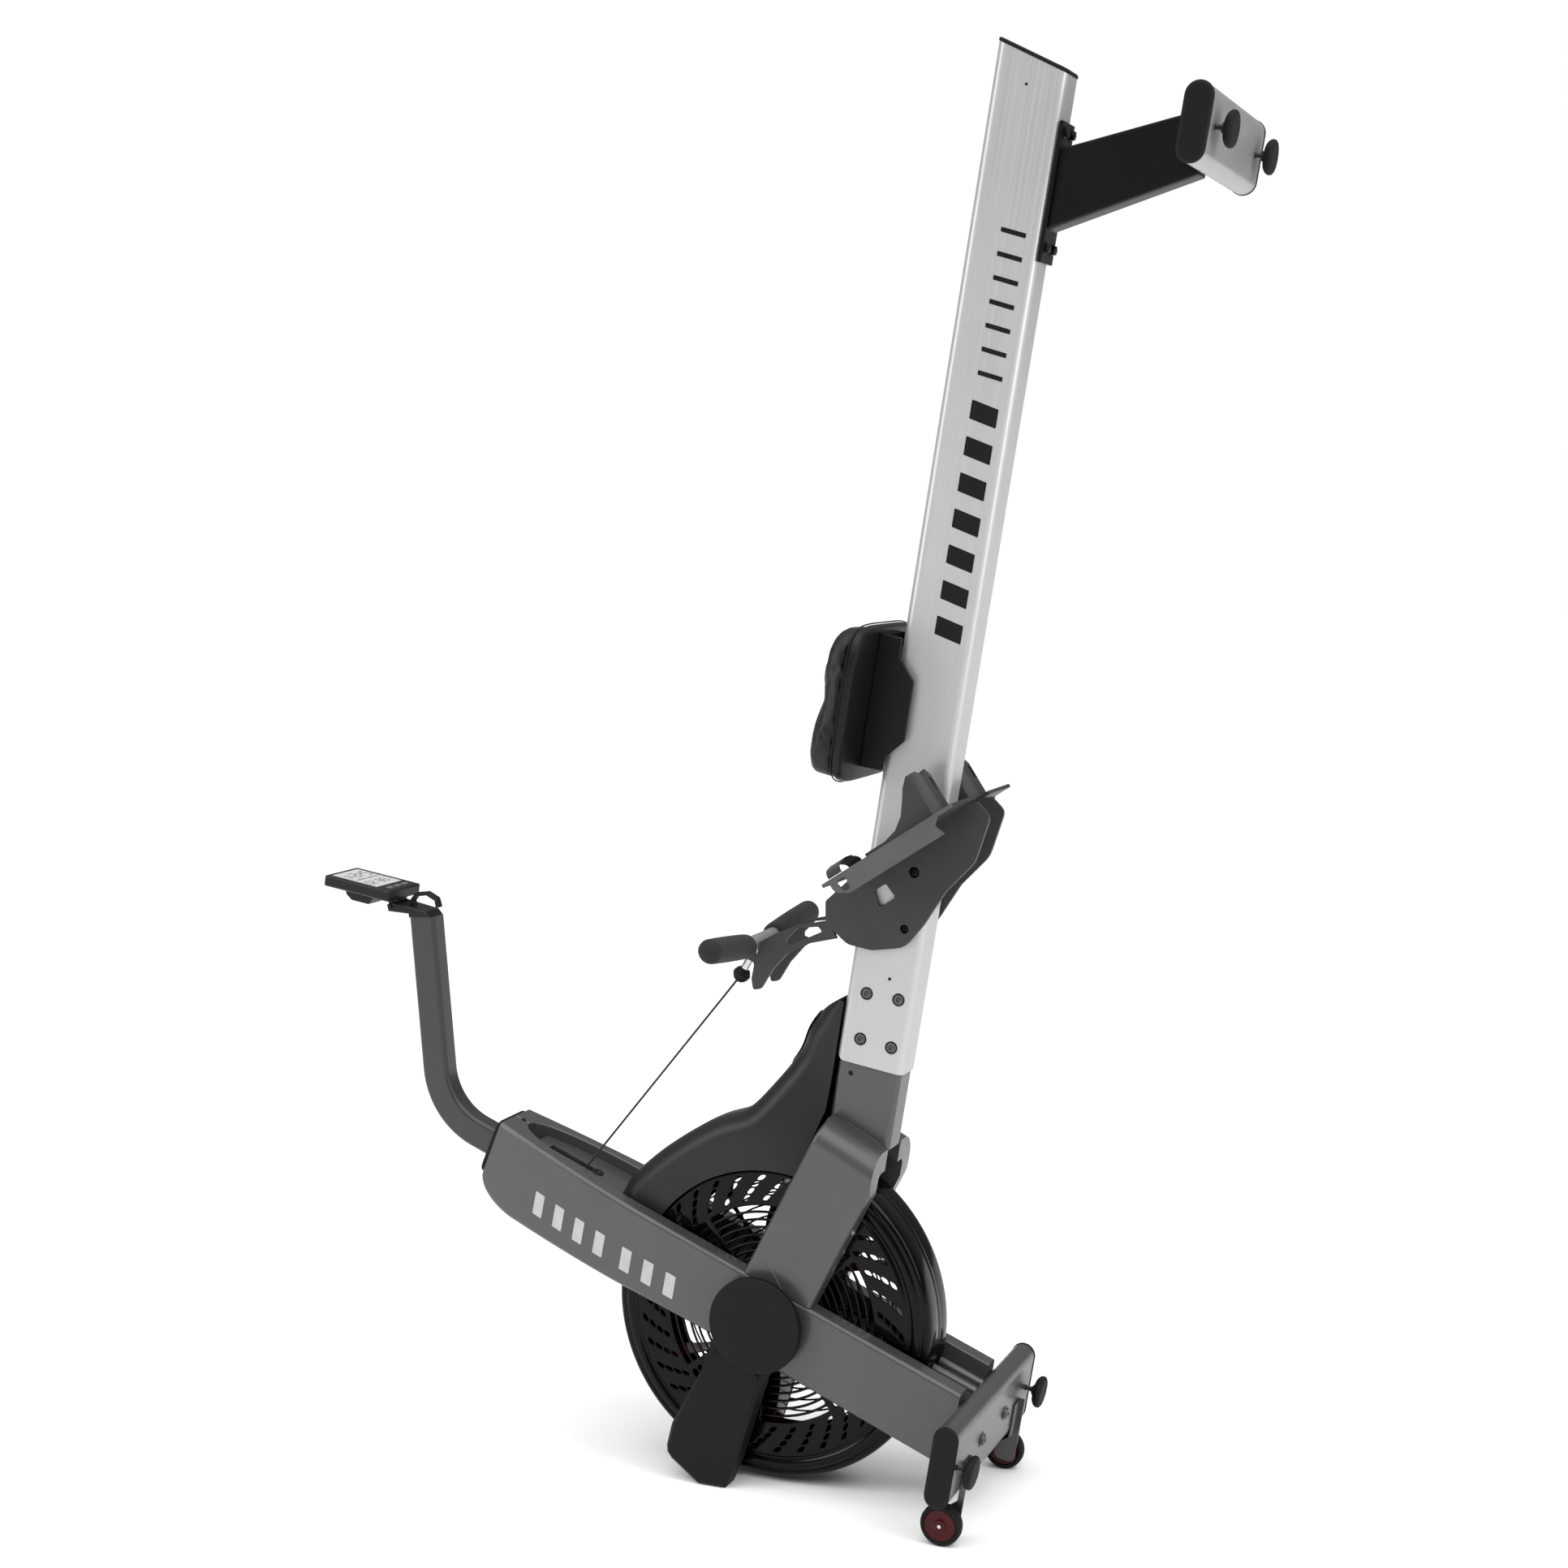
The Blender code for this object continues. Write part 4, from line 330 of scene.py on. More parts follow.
# Black for print and figures, and also for the painted shade of the rail's recesses.
INK_AND_PAINTED_SHADE_BLACK = finish("ink_and_painted_shade_black", tone(12, 12, 13), 0.45, vary=0.12, mottle=50.0, grain=1200.0, depth=0.00002,
                   gleam=0.2)
INK_WHITE = finish("ink_white", tone(172, 172, 172), 0.5, vary=0.06, mottle=50.0, grain=1200.0, depth=0.00002)
SEAT_FOAM = pebbled_foam()
WEBBING = woven("webbing", tone(34, 34, 34), 0.0022)
CORD_NYLON = woven("cord_nylon", tone(26, 26, 26), 0.0018)

# ---------------------------------------------------------------- shape building


def along_beam(s, t):
    """Point s along the side beams from the axle and t towards the rower."""
    return (s * math.sin(BEAM_LEAN) + t * math.cos(BEAM_LEAN),
            s * math.cos(BEAM_LEAN) - t * math.sin(BEAM_LEAN))


def on_tray(s, h):
    """Point s from the toe mark down the foot tray and h above its top."""
    return (TRAY_TOE[0] + s * math.cos(TRAY_ANGLE) - h * math.sin(TRAY_ANGLE),
            TRAY_TOE[1] + s * math.sin(TRAY_ANGLE) + h * math.cos(TRAY_ANGLE))


def rounded(points, radii, steps=6):
    """Closed outline with each corner turned into an arc of its own radius."""
    if not isinstance(radii, (list, tuple)):
        radii = [radii] * len(points)
    outline = []
    for index, corner in enumerate(points):
        here = Vector(corner)
        radius = radii[index]
        if radius <= 0.0:
            outline.append(here)
            continue
        back = (Vector(points[index - 1]) - here).normalized()
        ahead = (Vector(points[(index + 1) % len(points)]) - here).normalized()
        half = back.angle(ahead) / 2
        centre = here + (back + ahead).normalized() * radius / math.sin(half)
        start = here + back * radius / math.tan(half) - centre
        end = here + ahead * radius / math.tan(half) - centre
        sweep = start.angle_signed(end)
        for step in range(steps + 1):
            arm = start.copy()
            arm.rotate(Matrix.Rotation(-sweep * step / steps, 2))
            outline.append(centre + arm)
    return outline


def round_edges(bm, edges, width, segments=2, clamped=False):
    bmesh.ops.bevel(bm, geom=edges, offset=width, segments=segments, profile=0.5, affect="EDGES",
                    clamp_overlap=clamped, material=-1)


def loft(rings):
    """Closed body through rings that all have the same number of points."""
    bm = bmesh.new()
    tip = bm.faces.new([bm.verts.new(point) for point in rings[0]])
    for index, ring in enumerate(rings[1:]):
        made = bmesh.ops.extrude_face_region(bm, geom=[tip])["geom"]
        if index:
            bm.faces.remove(tip)
        tip = next(item for item in made if isinstance(item, bmesh.types.BMFace))
        for vert, point in zip(tip.verts, ring):
            vert.co = point
    bmesh.ops.recalc_face_normals(bm, faces=bm.faces)
    return bm


def prism(outline, y0, y1, soft=0.0, segments=2):
    """Outline in the X, Z plane, extruded from y0 to y1, its end rims rounded by soft."""
    bm = bmesh.new()
    face = bm.faces.new([bm.verts.new((x, y0, z)) for x, z in outline])
    made = bmesh.ops.extrude_face_region(bm, geom=[face])["geom"]
    moved = [item for item in made if isinstance(item, bmesh.types.BMVert)]
    bmesh.ops.translate(bm, vec=(0, y1 - y0, 0), verts=moved)
    bmesh.ops.recalc_face_normals(bm, faces=bm.faces)
    if soft:
        rims = [edge for edge in bm.edges if abs(edge.verts[0].co.y - edge.verts[1].co.y) < 1e-6]
        round_edges(bm, rims, soft, segments, clamped=True)
    return bm


def lathe(profile, centre, axis=(0, 1, 0), segments=48, closed=True):
    """Body of revolution; profile is (radius, height along the axis) from the centre."""
    bm = bmesh.new()
    way = Vector(axis).normalized()
    side = way.orthogonal().normalized()
    middle = Vector(centre)
    verts = [bm.verts.new(middle + side * radius + way * height) for radius, height in profile]
    count = len(verts) if closed else len(verts) - 1
    edges = [bm.edges.new((verts[i], verts[(i + 1) % len(verts)])) for i in range(count)]
    bmesh.ops.spin(bm, geom=verts + edges, cent=middle, axis=way, angle=2 * math.pi, steps=segments,
                   use_merge=True)
    bmesh.ops.remove_doubles(bm, verts=bm.verts[:], dist=1e-6)
    bmesh.ops.recalc_face_normals(bm, faces=bm.faces)
    return bm


def rod(radius, start, end, segments=24, soft=0.0):
    """Straight round bar between two points."""
    start = Vector(start)
    end = Vector(end)
    place = Matrix.Translation((start + end) / 2) @ (end - start).to_track_quat("Z", "Y").to_matrix().to_4x4()
    bm = bmesh.new()
    bmesh.ops.create_cone(bm, cap_ends=True, segments=segments, radius1=radius, radius2=radius,
                          depth=(end - start).length, matrix=place)
    if soft:
        rims = [edge for edge in bm.edges if len(edge.link_faces) == 2 and edge.calc_face_angle() > 1.2]
        round_edges(bm, rims, soft)
    return bm


def hex_nut(radius, depth, place, soft):
    """Six-sided nut round a middle point, upright, with its edges broken by soft."""
    bm = bmesh.new()
    bmesh.ops.create_cone(bm, cap_ends=True, segments=6, radius1=radius, radius2=radius, depth=depth,
                          matrix=Matrix.Translation(place))
    round_edges(bm, bm.edges[:], soft)
    return bm


def thicken(bm, layer, thickness):
    """Second skin a thickness behind the first, joined to it along every open edge."""
    bm.normal_update()
    rim = [edge for edge in bm.edges if edge.is_boundary]
    skin = bm.faces[:]
    back = {vert: bm.verts.new(vert.co - vert.normal * thickness) for vert in bm.verts[:]}
    for face in skin:
        inner = bm.faces.new([back[vert] for vert in reversed(face.verts)])
        for here, there in zip(inner.loops, reversed(face.loops[:])):
            here[layer].uv = there[layer].uv
    for edge in rim:
        begin, end = edge.verts
        side = bm.faces.new((begin, end, back[end], back[begin]))
        spots = {corner.vert: corner[layer].uv.copy() for corner in edge.link_faces[0].loops}
        for corner, vert in zip(side.loops, (begin, end, end, begin)):
            corner[layer].uv = spots[vert]


def sheet(columns, rows, place, thickness=0.0, metres=(1.0, 1.0)):
    """Grid bent by place(u, v), with UVs in metres; a thickness makes it a closed skin."""
    bm = bmesh.new()
    bmesh.ops.create_grid(bm, x_segments=columns, y_segments=rows, size=1.0)
    layer = bm.loops.layers.uv.new("metres")
    for face in bm.faces:
        for corner in face.loops:
            corner[layer].uv = ((corner.vert.co.x + 1) / 2 * metres[0],
                                (corner.vert.co.y + 1) / 2 * metres[1])
    for vert in bm.verts:
        vert.co = place((vert.co.x + 1) / 2, (vert.co.y + 1) / 2)
    if thickness:
        thicken(bm, layer, thickness)
    bmesh.ops.recalc_face_normals(bm, faces=bm.faces)
    return bm


def merge(parts):
    """One mesh from several, their faces numbered by material in the order given."""
    whole = bmesh.new()
    for index, part in enumerate(parts):
        for face in part.faces:
            face.material_index = index
        carrier = bpy.data.meshes.new("carrier")
        part.to_mesh(carrier)
        part.free()
        whole.from_mesh(carrier)
        bpy.data.meshes.remove(carrier)
    return whole


def join(parts):
    """One mesh from several of the same material."""
    whole = merge(parts)
    for face in whole.faces:
        face.material_index = 0
    return whole


def mirrored(bm):
    for vert in bm.verts:
        vert.co.y = -vert.co.y
    bmesh.ops.reverse_faces(bm, faces=bm.faces[:])
    return bm


def unturned(bm):
    return bm


SIDES = (("left", unturned), ("right", mirrored))


def both_sides(build):
    for side, turn in SIDES:
        build(side, turn)


def place_piece(name, bm, mats, body, slot, nodes=(), sharp=38.0, in_machine=True):
    """Finished piece in the model's frame, riding on its body and standing for its CAD nodes."""
    if in_machine:
        bm.transform(TO_WORLD)
    mesh = bpy.data.meshes.new(name)
    bm.to_mesh(mesh)
    bm.free()
    for mat in mats if isinstance(mats, (list, tuple)) else [mats]:
        mesh.materials.append(mat)
    mesh.shade_smooth()
    mesh.set_sharp_from_angle(angle=math.radians(sharp))
    obj = link_new(name, mesh)
    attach(obj, body)
    if nodes:
        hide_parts(*nodes)
    return obj


def weigh_normals(obj):
    """Keep big flat faces flat beside their rounded edges."""
    step = obj.modifiers.new("even_faces", "WEIGHTED_NORMAL")
    step.keep_sharp = True
    return obj


def place_flat(*settings, **options):
    return weigh_normals(place_piece(*settings, **options))


def shaped_mesh(obj):
    """Mesh of a piece with its modifiers worked in."""
    return bpy.data.meshes.new_from_object(obj.evaluated_get(bpy.context.evaluated_depsgraph_get()))


def link_new(name, data):
    obj = bpy.data.objects.new(name, data)
    bpy.context.collection.objects.link(obj)
    return obj


def node_mesh(node):
    """Merged copy of a CAD node's mesh with its flat faces whole."""
    bm = bmesh.new()
    bm.from_mesh(frame["nodes"][node].data)
    bmesh.ops.remove_doubles(bm, verts=bm.verts[:], dist=2e-6)
    bmesh.ops.dissolve_limit(bm, angle_limit=math.radians(1.0), verts=bm.verts[:], edges=bm.edges[:])
    bmesh.ops.recalc_face_normals(bm, faces=bm.faces)
    for face in bm.faces:
        face.material_index = 0
    return bm


def hard_edges(bm, over, shortest):
    """Edges that fold by more than over degrees and are longer than the shortest worth rounding."""
    return [edge for edge in bm.edges if len(edge.link_faces) == 2
            and edge.calc_face_angle() > math.radians(over) and edge.calc_length() > shortest]


def soften(node, mat, slot, width=0.0008, segments=2, over=32.0):
    """CAD node's shape with every hard edge rounded, in the finish it really has."""
    bm = node_mesh(node)
    round_edges(bm, hard_edges(bm, over, width * 2.2), width, segments, clamped=True)
    return place_flat(f"{node}_finished", bm, mat, BODY_OF[node], slot, (node,), in_machine=False)


def carve(obj, bm):
    """Cut a closed shape, drawn in the machine's frame, out of a finished piece."""
    bm.transform(TO_WORLD)
    mesh = bpy.data.meshes.new("cutter")
    bm.to_mesh(mesh)
    bm.free()
    helper = link_new("cutter", mesh)
    step = obj.modifiers.new("carve", "BOOLEAN")
    step.operation = "DIFFERENCE"
    step.solver = "EXACT"
    step.object = helper
    bpy.context.view_layer.update()
    shaped = shaped_mesh(obj)
    obj.modifiers.remove(step)
    obj.data = shaped
    bpy.data.objects.remove(helper, do_unlink=True)
    return obj


# ---------------------------------------------------------------- rail and neck
RAIL_MID_Z = (RAIL_LOW.z + RAIL_HIGH.z) / 2
RAIL_HALF_Y = RAIL_HIGH.y
RAIL_HALF_Z = (RAIL_HIGH.z - RAIL_LOW.z) / 2
RAIL_FRONT = RAIL_LOW.x
RAIL_BACK = RAIL_HIGH.x
SLEEVE_ROUND = 0.018


def rail_ring(x, inset, slanted=0.0, bitten=0.0):
    """Ring across the rail; bitten rounds the front end's upper corner as seen from the side."""
    half_y = RAIL_HALF_Y - inset
    half_z = RAIL_HALF_Z - inset
    corners = [(-half_y, -half_z), (half_y, -half_z), (half_y, half_z), (-half_y, half_z)]
    ring = []
    for y, z in rounded(corners, max(RAIL_CORNER - inset, 0.004), 9):
        lean = slanted * (RAIL_HALF_Z - z) / (2 * RAIL_HALF_Z)
        past = max(0.0, z - (half_z - SLEEVE_ROUND)) / SLEEVE_ROUND
        bite = bitten * SLEEVE_ROUND * (1 - math.sqrt(max(0.0, 1 - min(past, 1.0) ** 2)))
        ring.append((x - lean + bite, y, RAIL_MID_Z + z))
    return ring


def build_rail():
    rings = [rail_ring(RAIL_FRONT, 0.0010, bitten=1.0), rail_ring(RAIL_FRONT + 0.0008, 0.0, bitten=1.0)]
    rings += [rail_ring(x, 0.0) for x in (RAIL_FRONT + SLEEVE_ROUND + 0.002, 1.0, 1.5)]
    rings.append(rail_ring(RAIL_BACK, 0.0, RAIL_SLANT))
    place_flat("rail_extrusion", loft(rings), RAIL_METAL, "frame", "aluminium", ("rail",))
    plate = [rail_ring(RAIL_BACK + GAP, -0.0004, RAIL_SLANT),
             rail_ring(RAIL_BACK + 0.001, -0.0012, RAIL_SLANT),
             rail_ring(RAIL_BACK + 0.0045, -0.0012, RAIL_SLANT),
             rail_ring(RAIL_BACK + 0.0062, 0.0004, RAIL_SLANT),
             rail_ring(RAIL_BACK + 0.0068, 0.003, RAIL_SLANT)]
    place_flat("rail_end_plug", loft(plate), MATTE_BLACK, "frame", "black_plastic", ("rail_end_cap",))
    low = span("neck")[0]
    neck = loft([rail_ring(x, RAIL_WALL) for x in (low.x, low.x + 0.05, RAIL_FRONT + 0.03)])
    place_flat("neck_tube", neck, FRAME_PAINT, "frame", "frame_paint", ("neck",))


def socket_bolt(x, z, sign, radius=0.0088):
    """Button head with a hex socket, standing in a black ring of painted shade where its recess would be."""
    y = sign * RAIL_HALF_Y
    way = (0, sign, 0)
    socket = radius * 0.36
    ring = lathe([(radius * 0.98, 0.0002), (radius * 1.22, 0.0002), (radius * 1.22, 0.0008),
                  (radius * 1.10, 0.0012),
                  (radius * 0.98, 0.0010)], (x, y, z), way, 36)
    head = lathe([(0.0, 0.0004), (radius * 0.95, 0.0004), (radius * 0.95, 0.0012), (radius * 0.82, 0.0026),
                  (radius * 0.60, 0.0033), (socket, 0.0036), (socket, 0.0014), (0.0, 0.0014)], (x, y, z), way,
                 36)
    return ring, head


def build_rail_bolts():
    rings = []
    heads = []
    for sign in (-1, 1):
        for x, z in ((0.5837, -0.0748), (0.5863, -0.1308), (0.5055, -0.0763), (0.5042, -0.1317)):
            ring, head = socket_bolt(x, z, sign)
            rings.append(ring)
            heads.append(head)
        # These small discs, and the one further back on the rail, are painted shade standing in for small
        # recesses.
        for x, z, radius, sunk in ((0.617, -0.110, 0.0028, 0.0), (0.443, -0.068, 0.0042, RAIL_WALL)):
            spot = (x, sign * (RAIL_HALF_Y - sunk), z)
            rings.append(lathe([(0.0, 0.0001), (radius, 0.0001), (radius, 0.0004), (radius * 0.7, 0.0006),
                                (0.0, 0.0003)], spot, (0, sign, 0), 20))
        spot = (2.05, sign * RAIL_HALF_Y, -0.096)
        rings.append(lathe([(0.0, 0.0001), (0.0022, 0.0001), (0.0022, 0.0004), (0.0, 0.0006)], spot,
                           (0, sign, 0), 16))
    # Black rings and discs of painted shade where the recesses would be.
    place_piece("rail_recess_painted_shade", join(rings), INK_AND_PAINTED_SHADE_BLACK, "frame", "black_steel")
    place_piece("rail_bolts", join(heads), BOLT_STEEL, "frame", "steel")


INK_OVER = 0.0001
INK_THICK = 0.00015
RAIL_MARKS = ((1.180, 0.0575, -0.137, 0.030, 0.046, 0.010), (1.598, 0.037, -0.135, 0.0075, 0.042, 0.006))


def slanted_bar(x, z, length, tall, slant, y, thick, corner=0.0015):
    """Raised parallelogram of ink: length along the rail, tall across it."""
    corners = [(x, z), (x + length, z), (x + length + slant, z + tall), (x + slant, z + tall)]
    return prism(rounded(corners, corner, 3), y, y + thick)


def build_rail_stripes():
    """Plain slanted bars where the rail carries its markings: a bold run, then a thin one."""
    bars = []
    for sign in (-1, 1):
        y = sign * (RAIL_HALF_Y + INK_OVER)
        for first, pitch, z, length, tall, slant in RAIL_MARKS:
            for index in range(7):
                bars.append(slanted_bar(first + index * pitch, z, length, tall, slant, y, sign * INK_THICK))
    place_piece("rail_stripes", join(bars), INK_AND_PAINTED_SHADE_BLACK, "frame", "black_steel")


build_rail()
build_rail_bolts()
build_rail_stripes()

# ---------------------------------------------------------------- side beams, fork arms, head


def beam_low(s):
    """Front edge of a beam: it drops slowly towards the head, then curls up to the nose."""
    edge = BEAM_LOW_T + (HEAD_LOW_T - BEAM_LOW_T) * max(0.0, min(1.0, s / 0.50))
    curl = max(0.0, (s - 0.50) / (HEAD_END - 0.50))
    return edge + 0.042 * (1 - math.sqrt(max(0.0, 1 - curl * curl)))


def beam_outer(s):
    """Outer face of a beam: straight past the fan, drawn in towards the nose."""
    return FRAME_OUTER - 0.039 * max(0.0, (s - 0.26) / (HEAD_END - 0.26)) ** 1.6


def beam_inner(s):
    """Inner face of a beam: it closes like a pointed arch in front of the cord outlet."""
    arch = max(0.0, min(1.0, (s - 0.30) / 0.255))
    return max(GAP, FRAME_INNER * math.sqrt(max(0.0, 1 - arch ** 2.4)))


BAR_TOP_Z = -0.363 + GAP


def beam_ring(s, inset=0.0, square_low=False):
    corners = [(-beam_outer(s) + inset, beam_low(s) + inset), (-beam_inner(s) - inset, beam_low(s) + inset),
               (-beam_inner(s) - inset, BEAM_TOP_T - inset), (-beam_outer(s) + inset, BEAM_TOP_T - inset)]
    ring = []
    for y, t in rounded(corners, [FRAME_ROUND * 1.4, 0.003, 0.003, FRAME_ROUND], 6):
        x, z = along_beam(s, t)
        if square_low:
            z = BAR_TOP_Z
            foot = (z + t * math.sin(BEAM_LEAN)) / math.cos(BEAM_LEAN)
            x = foot * math.sin(BEAM_LEAN) + t * math.cos(BEAM_LEAN)
        ring.append((x, y, z))
    return ring


def build_beam(side, turn):
    stations = [-0.10, 0.10, 0.20] + [0.26 + 0.01 * step for step in range(24)]
    stations += [0.495 + 0.005 * step for step in range(18)] + [0.5835]
    rings = [beam_ring(-0.36, square_low=True)] + [beam_ring(s) for s in stations]
    rings.append(beam_ring(HEAD_END, 0.0012))
    place_flat(f"beam_{side}", turn(loft(rings)), FRAME_PAINT, "frame", "frame_paint", (f"side_beam_{side}",))


def slice_off(bm, point, normal):
    """Drop everything on the normal's side of a plane and close the cut."""
    bmesh.ops.bisect_plane(bm, geom=bm.verts[:] + bm.edges[:] + bm.faces[:], plane_co=point, plane_no=normal,
                           clear_outer=True)
    open_edges = [edge for edge in bm.edges if edge.is_boundary]
    bmesh.ops.holes_fill(bm, edges=open_edges, sides=0)
    bmesh.ops.recalc_face_normals(bm, faces=bm.faces)


def build_arm(side, turn):
    """Fork arm: out from the neck over the guard, round the shoulder and down to the beam."""
    neck_side = RAIL_HALF_Y - RAIL_WALL + GAP
    corners = [(0.02, FRAME_INNER), (0.02, FRAME_OUTER), (ARM_SHOULDER, FRAME_OUTER),
               (ARM_SHOULDER, neck_side),
               (ARM_SHOULDER - ARM_WALL, neck_side), (ARM_SHOULDER - ARM_WALL, FRAME_INNER)]
    outline = rounded(corners, [0, 0, 0.040, 0, 0, 0.012], 14)
    bm = bmesh.new()
    face = bm.faces.new([bm.verts.new((s, -y, -ARM_HALF)) for s, y in outline])
    made = bmesh.ops.extrude_face_region(bm, geom=[face])["geom"]
    moved = [item for item in made if isinstance(item, bmesh.types.BMVert)]
    bmesh.ops.translate(bm, vec=(0, 0, 2 * ARM_HALF), verts=moved)
    rims = [edge for edge in bm.edges
            if abs(edge.verts[0].co.z - edge.verts[1].co.z) < 1e-6
            and max(vert.co.y for vert in edge.verts) < -FRAME_INNER - 0.002]
    round_edges(bm, rims, FRAME_ROUND, 5)
    bmesh.ops.rotate(bm, cent=(0, 0, 0), matrix=Matrix.Rotation(ARM_LEAN, 3, "Y"), verts=bm.verts[:])
    bmesh.ops.recalc_face_normals(bm, faces=bm.faces)
    edge_point = along_beam(0.0, BEAM_TOP_T + GAP)
    slice_off(bm, (edge_point[0], 0, edge_point[1]), (-math.cos(BEAM_LEAN), 0, math.sin(BEAM_LEAN)))
    slice_off(bm, (0, 0, RAIL_LOW.z + RAIL_WALL), (0, 0, -1))
    place_flat(f"arm_{side}", turn(bm), FRAME_PAINT, "frame", "frame_paint", (f"fork_arm_{side}",))


def weld_bead(points, y, sign, radius=0.0022):
    """Low rippled bead of weld along a run of points on a side face."""
    rings = []
    path = []
    for begin, end in zip(points[:-1], points[1:]):
        steps = max(2, int((Vector(end) - Vector(begin)).length / 0.0015))
        path += [Vector(begin).lerp(Vector(end), step / steps) for step in range(steps)]
    for index, point in enumerate(path):
        before = path[max(index - 1, 0)]
        after = path[min(index + 1, len(path) - 1)]
        side_way = (after - before).normalized().orthogonal()
        swell = radius * (1.0 + 0.16 * math.sin(index * 1.9))
        rings.append([(point.x + side_way.x * swell * math.cos(a), y + sign * swell * 0.6 * math.sin(a),
                       point.y + side_way.y * swell * math.cos(a))
                      for a in [2 * math.pi * k / 8 for k in range(8)]])
    return loft(rings)


def build_welds():
    beads = []
    for sign in (-1, 1):
        arm = [(ARM_SHOULDER * math.cos(ARM_LEAN) + w * math.sin(ARM_LEAN),
                -ARM_SHOULDER * math.sin(ARM_LEAN) + w * math.cos(ARM_LEAN)) for w in (-0.030, 0.0, 0.040)]
        beads.append(weld_bead(arm, sign * (RAIL_HALF_Y - RAIL_WALL + 0.0012), sign, 0.0018))
        joint_line = []
        for w in (-ARM_HALF + 0.008, 0.0, ARM_HALF - 0.008):
            for_t = (BEAM_TOP_T + w * math.sin(ARM_LEAN + BEAM_LEAN)) / math.cos(ARM_LEAN + BEAM_LEAN)
            joint_line.append((for_t * math.cos(ARM_LEAN) + w * math.sin(ARM_LEAN),
                               -for_t * math.sin(ARM_LEAN) + w * math.cos(ARM_LEAN)))
        beads.append(weld_bead(joint_line, sign * (FRAME_OUTER - 0.0006), sign))
    place_piece("frame_welds", join(beads), FRAME_PAINT, "frame", "frame_paint")


def build_beam_stripes():
    """Plain light bars where the beams carry their markings."""
    bars = []
    for sign in (-1, 1):
        for index in range(7):
            s = 0.170 + index * 0.045 - (0.012 if index < 3 else 0.0)
            slant = 0.008
            corners = [along_beam(*spot) for spot in ((s, -0.046), (s + 0.020, -0.046),
                                                      (s + 0.020 + slant, -0.006),
                                                      (s + slant, -0.006))]
            bar = prism(rounded(corners, 0.0015, 3), 0.0, INK_THICK)
            for vert in bar.verts:
                reach = vert.co.x * math.sin(BEAM_LEAN) + vert.co.z * math.cos(BEAM_LEAN)
                vert.co.y = sign * (beam_outer(reach) + INK_OVER + vert.co.y)
            bmesh.ops.recalc_face_normals(bar, faces=bar.faces)
            bars.append(bar)
    place_piece("beam_stripes", join(bars), INK_WHITE, "frame", "silver_paint")


NOSE_SCREWS_S = (0.545, 0.567)


def build_head_fittings():
    """Fairlead round the cord and the two screws behind the nose."""
    base = Vector(along_beam(0.3995, 0.0462))
    out = (math.cos(BEAM_LEAN), 0, -math.sin(BEAM_LEAN))
    eye = lathe([(0.0035, 0.0), (0.0110, 0.0), (0.0105, 0.0022), (0.0085, 0.0034), (0.0050, 0.0030),
                 (0.0035, 0.0018)],
                (base.x, 0, base.y), out, 36)
    place_piece("cord_fairlead", eye, CASE_BLACK, "frame", "black_plastic")
    screws = []
    for s in NOSE_SCREWS_S:
        x, z = along_beam(s, BEAM_TOP_T)
        screws.append(lathe([(0.0, 0.0), (0.0042, 0.0), (0.0042, 0.0008), (0.0030, 0.0018), (0.0014, 0.0020),
                             (0.0014, 0.0008), (0.0, 0.0008)], (x, 0, z), out, 24))
    place_piece("nose_screws", join(screws), BLACK_STEEL, "frame", "black_steel")


both_sides(build_beam)
both_sides(build_arm)
build_welds()
build_beam_stripes()
build_head_fittings()
soften("cord_bridge", FRAME_PAINT, "frame_paint", 0.0006)
soften("head_end_plate", MATTE_BLACK, "black_plastic", 0.0010, 3)
soften("guide_pulley", STEEL, "steel", 0.0004)

# ---------------------------------------------------------------- fan, guards, hub


def circle_point(radius, angle, y):
    return Vector((radius * math.cos(angle), y, radius * math.sin(angle)))


GUARD_CELLS = 272
ROW_CELLS = 8
RIB_CELLS = 34
DASH_START = 0.198
DASH_PITCH = 0.0116
DASH_GAP = 0.0030
ARC_START = 0.088
ARC_PITCH = 0.0132
ARC_GAP = 0.0052
SWIRL = math.radians(11.5)
RIM_PROFILE = ((0.2475, -0.0520), (0.2500, -0.0490), (0.2530, -0.0478), (0.2565, -0.0490), (0.2590, -0.0516),
               (0.2640, -0.0520), (0.2700, -0.0510), (0.2722, -0.0480), (0.2745, -0.0478), (0.2765, -0.0496),
               (0.2810, -0.0486), (0.2850, -0.0450), (0.2873, -0.0390), (0.2880, -0.0300), (0.2880, -0.0150),
               (0.2872, -0.0080), (0.2872, -0.0030), (0.2880, -0.0020), (0.2880, -0.0003))


def guard_rings(open_side):
    """Radii of the guard's face from the hub outwards, and what is cut between each pair."""
    rings = [0.030, 0.060, ARC_START]
    kinds = ["solid", "solid"]
    pitch, gap = (ARC_PITCH * 1.5, ARC_GAP * 0.7) if open_side else (ARC_PITCH, ARC_GAP)
    limit = DASH_START + 4 * DASH_PITCH if open_side else DASH_START - 0.004
    while rings[-1] + pitch <= limit + 1e-6:
        start = rings[-1]
        rings += [start + pitch - gap, start + pitch]
        kinds += ["arc", "solid"]
    if not open_side:
        rings.append(DASH_START)
        kinds.append("solid")
        for index in range(4):
            start = DASH_START + index * DASH_PITCH
            rings += [start + DASH_PITCH - DASH_GAP, start + DASH_PITCH]
            kinds += ["dash", "solid"]
    return rings, kinds


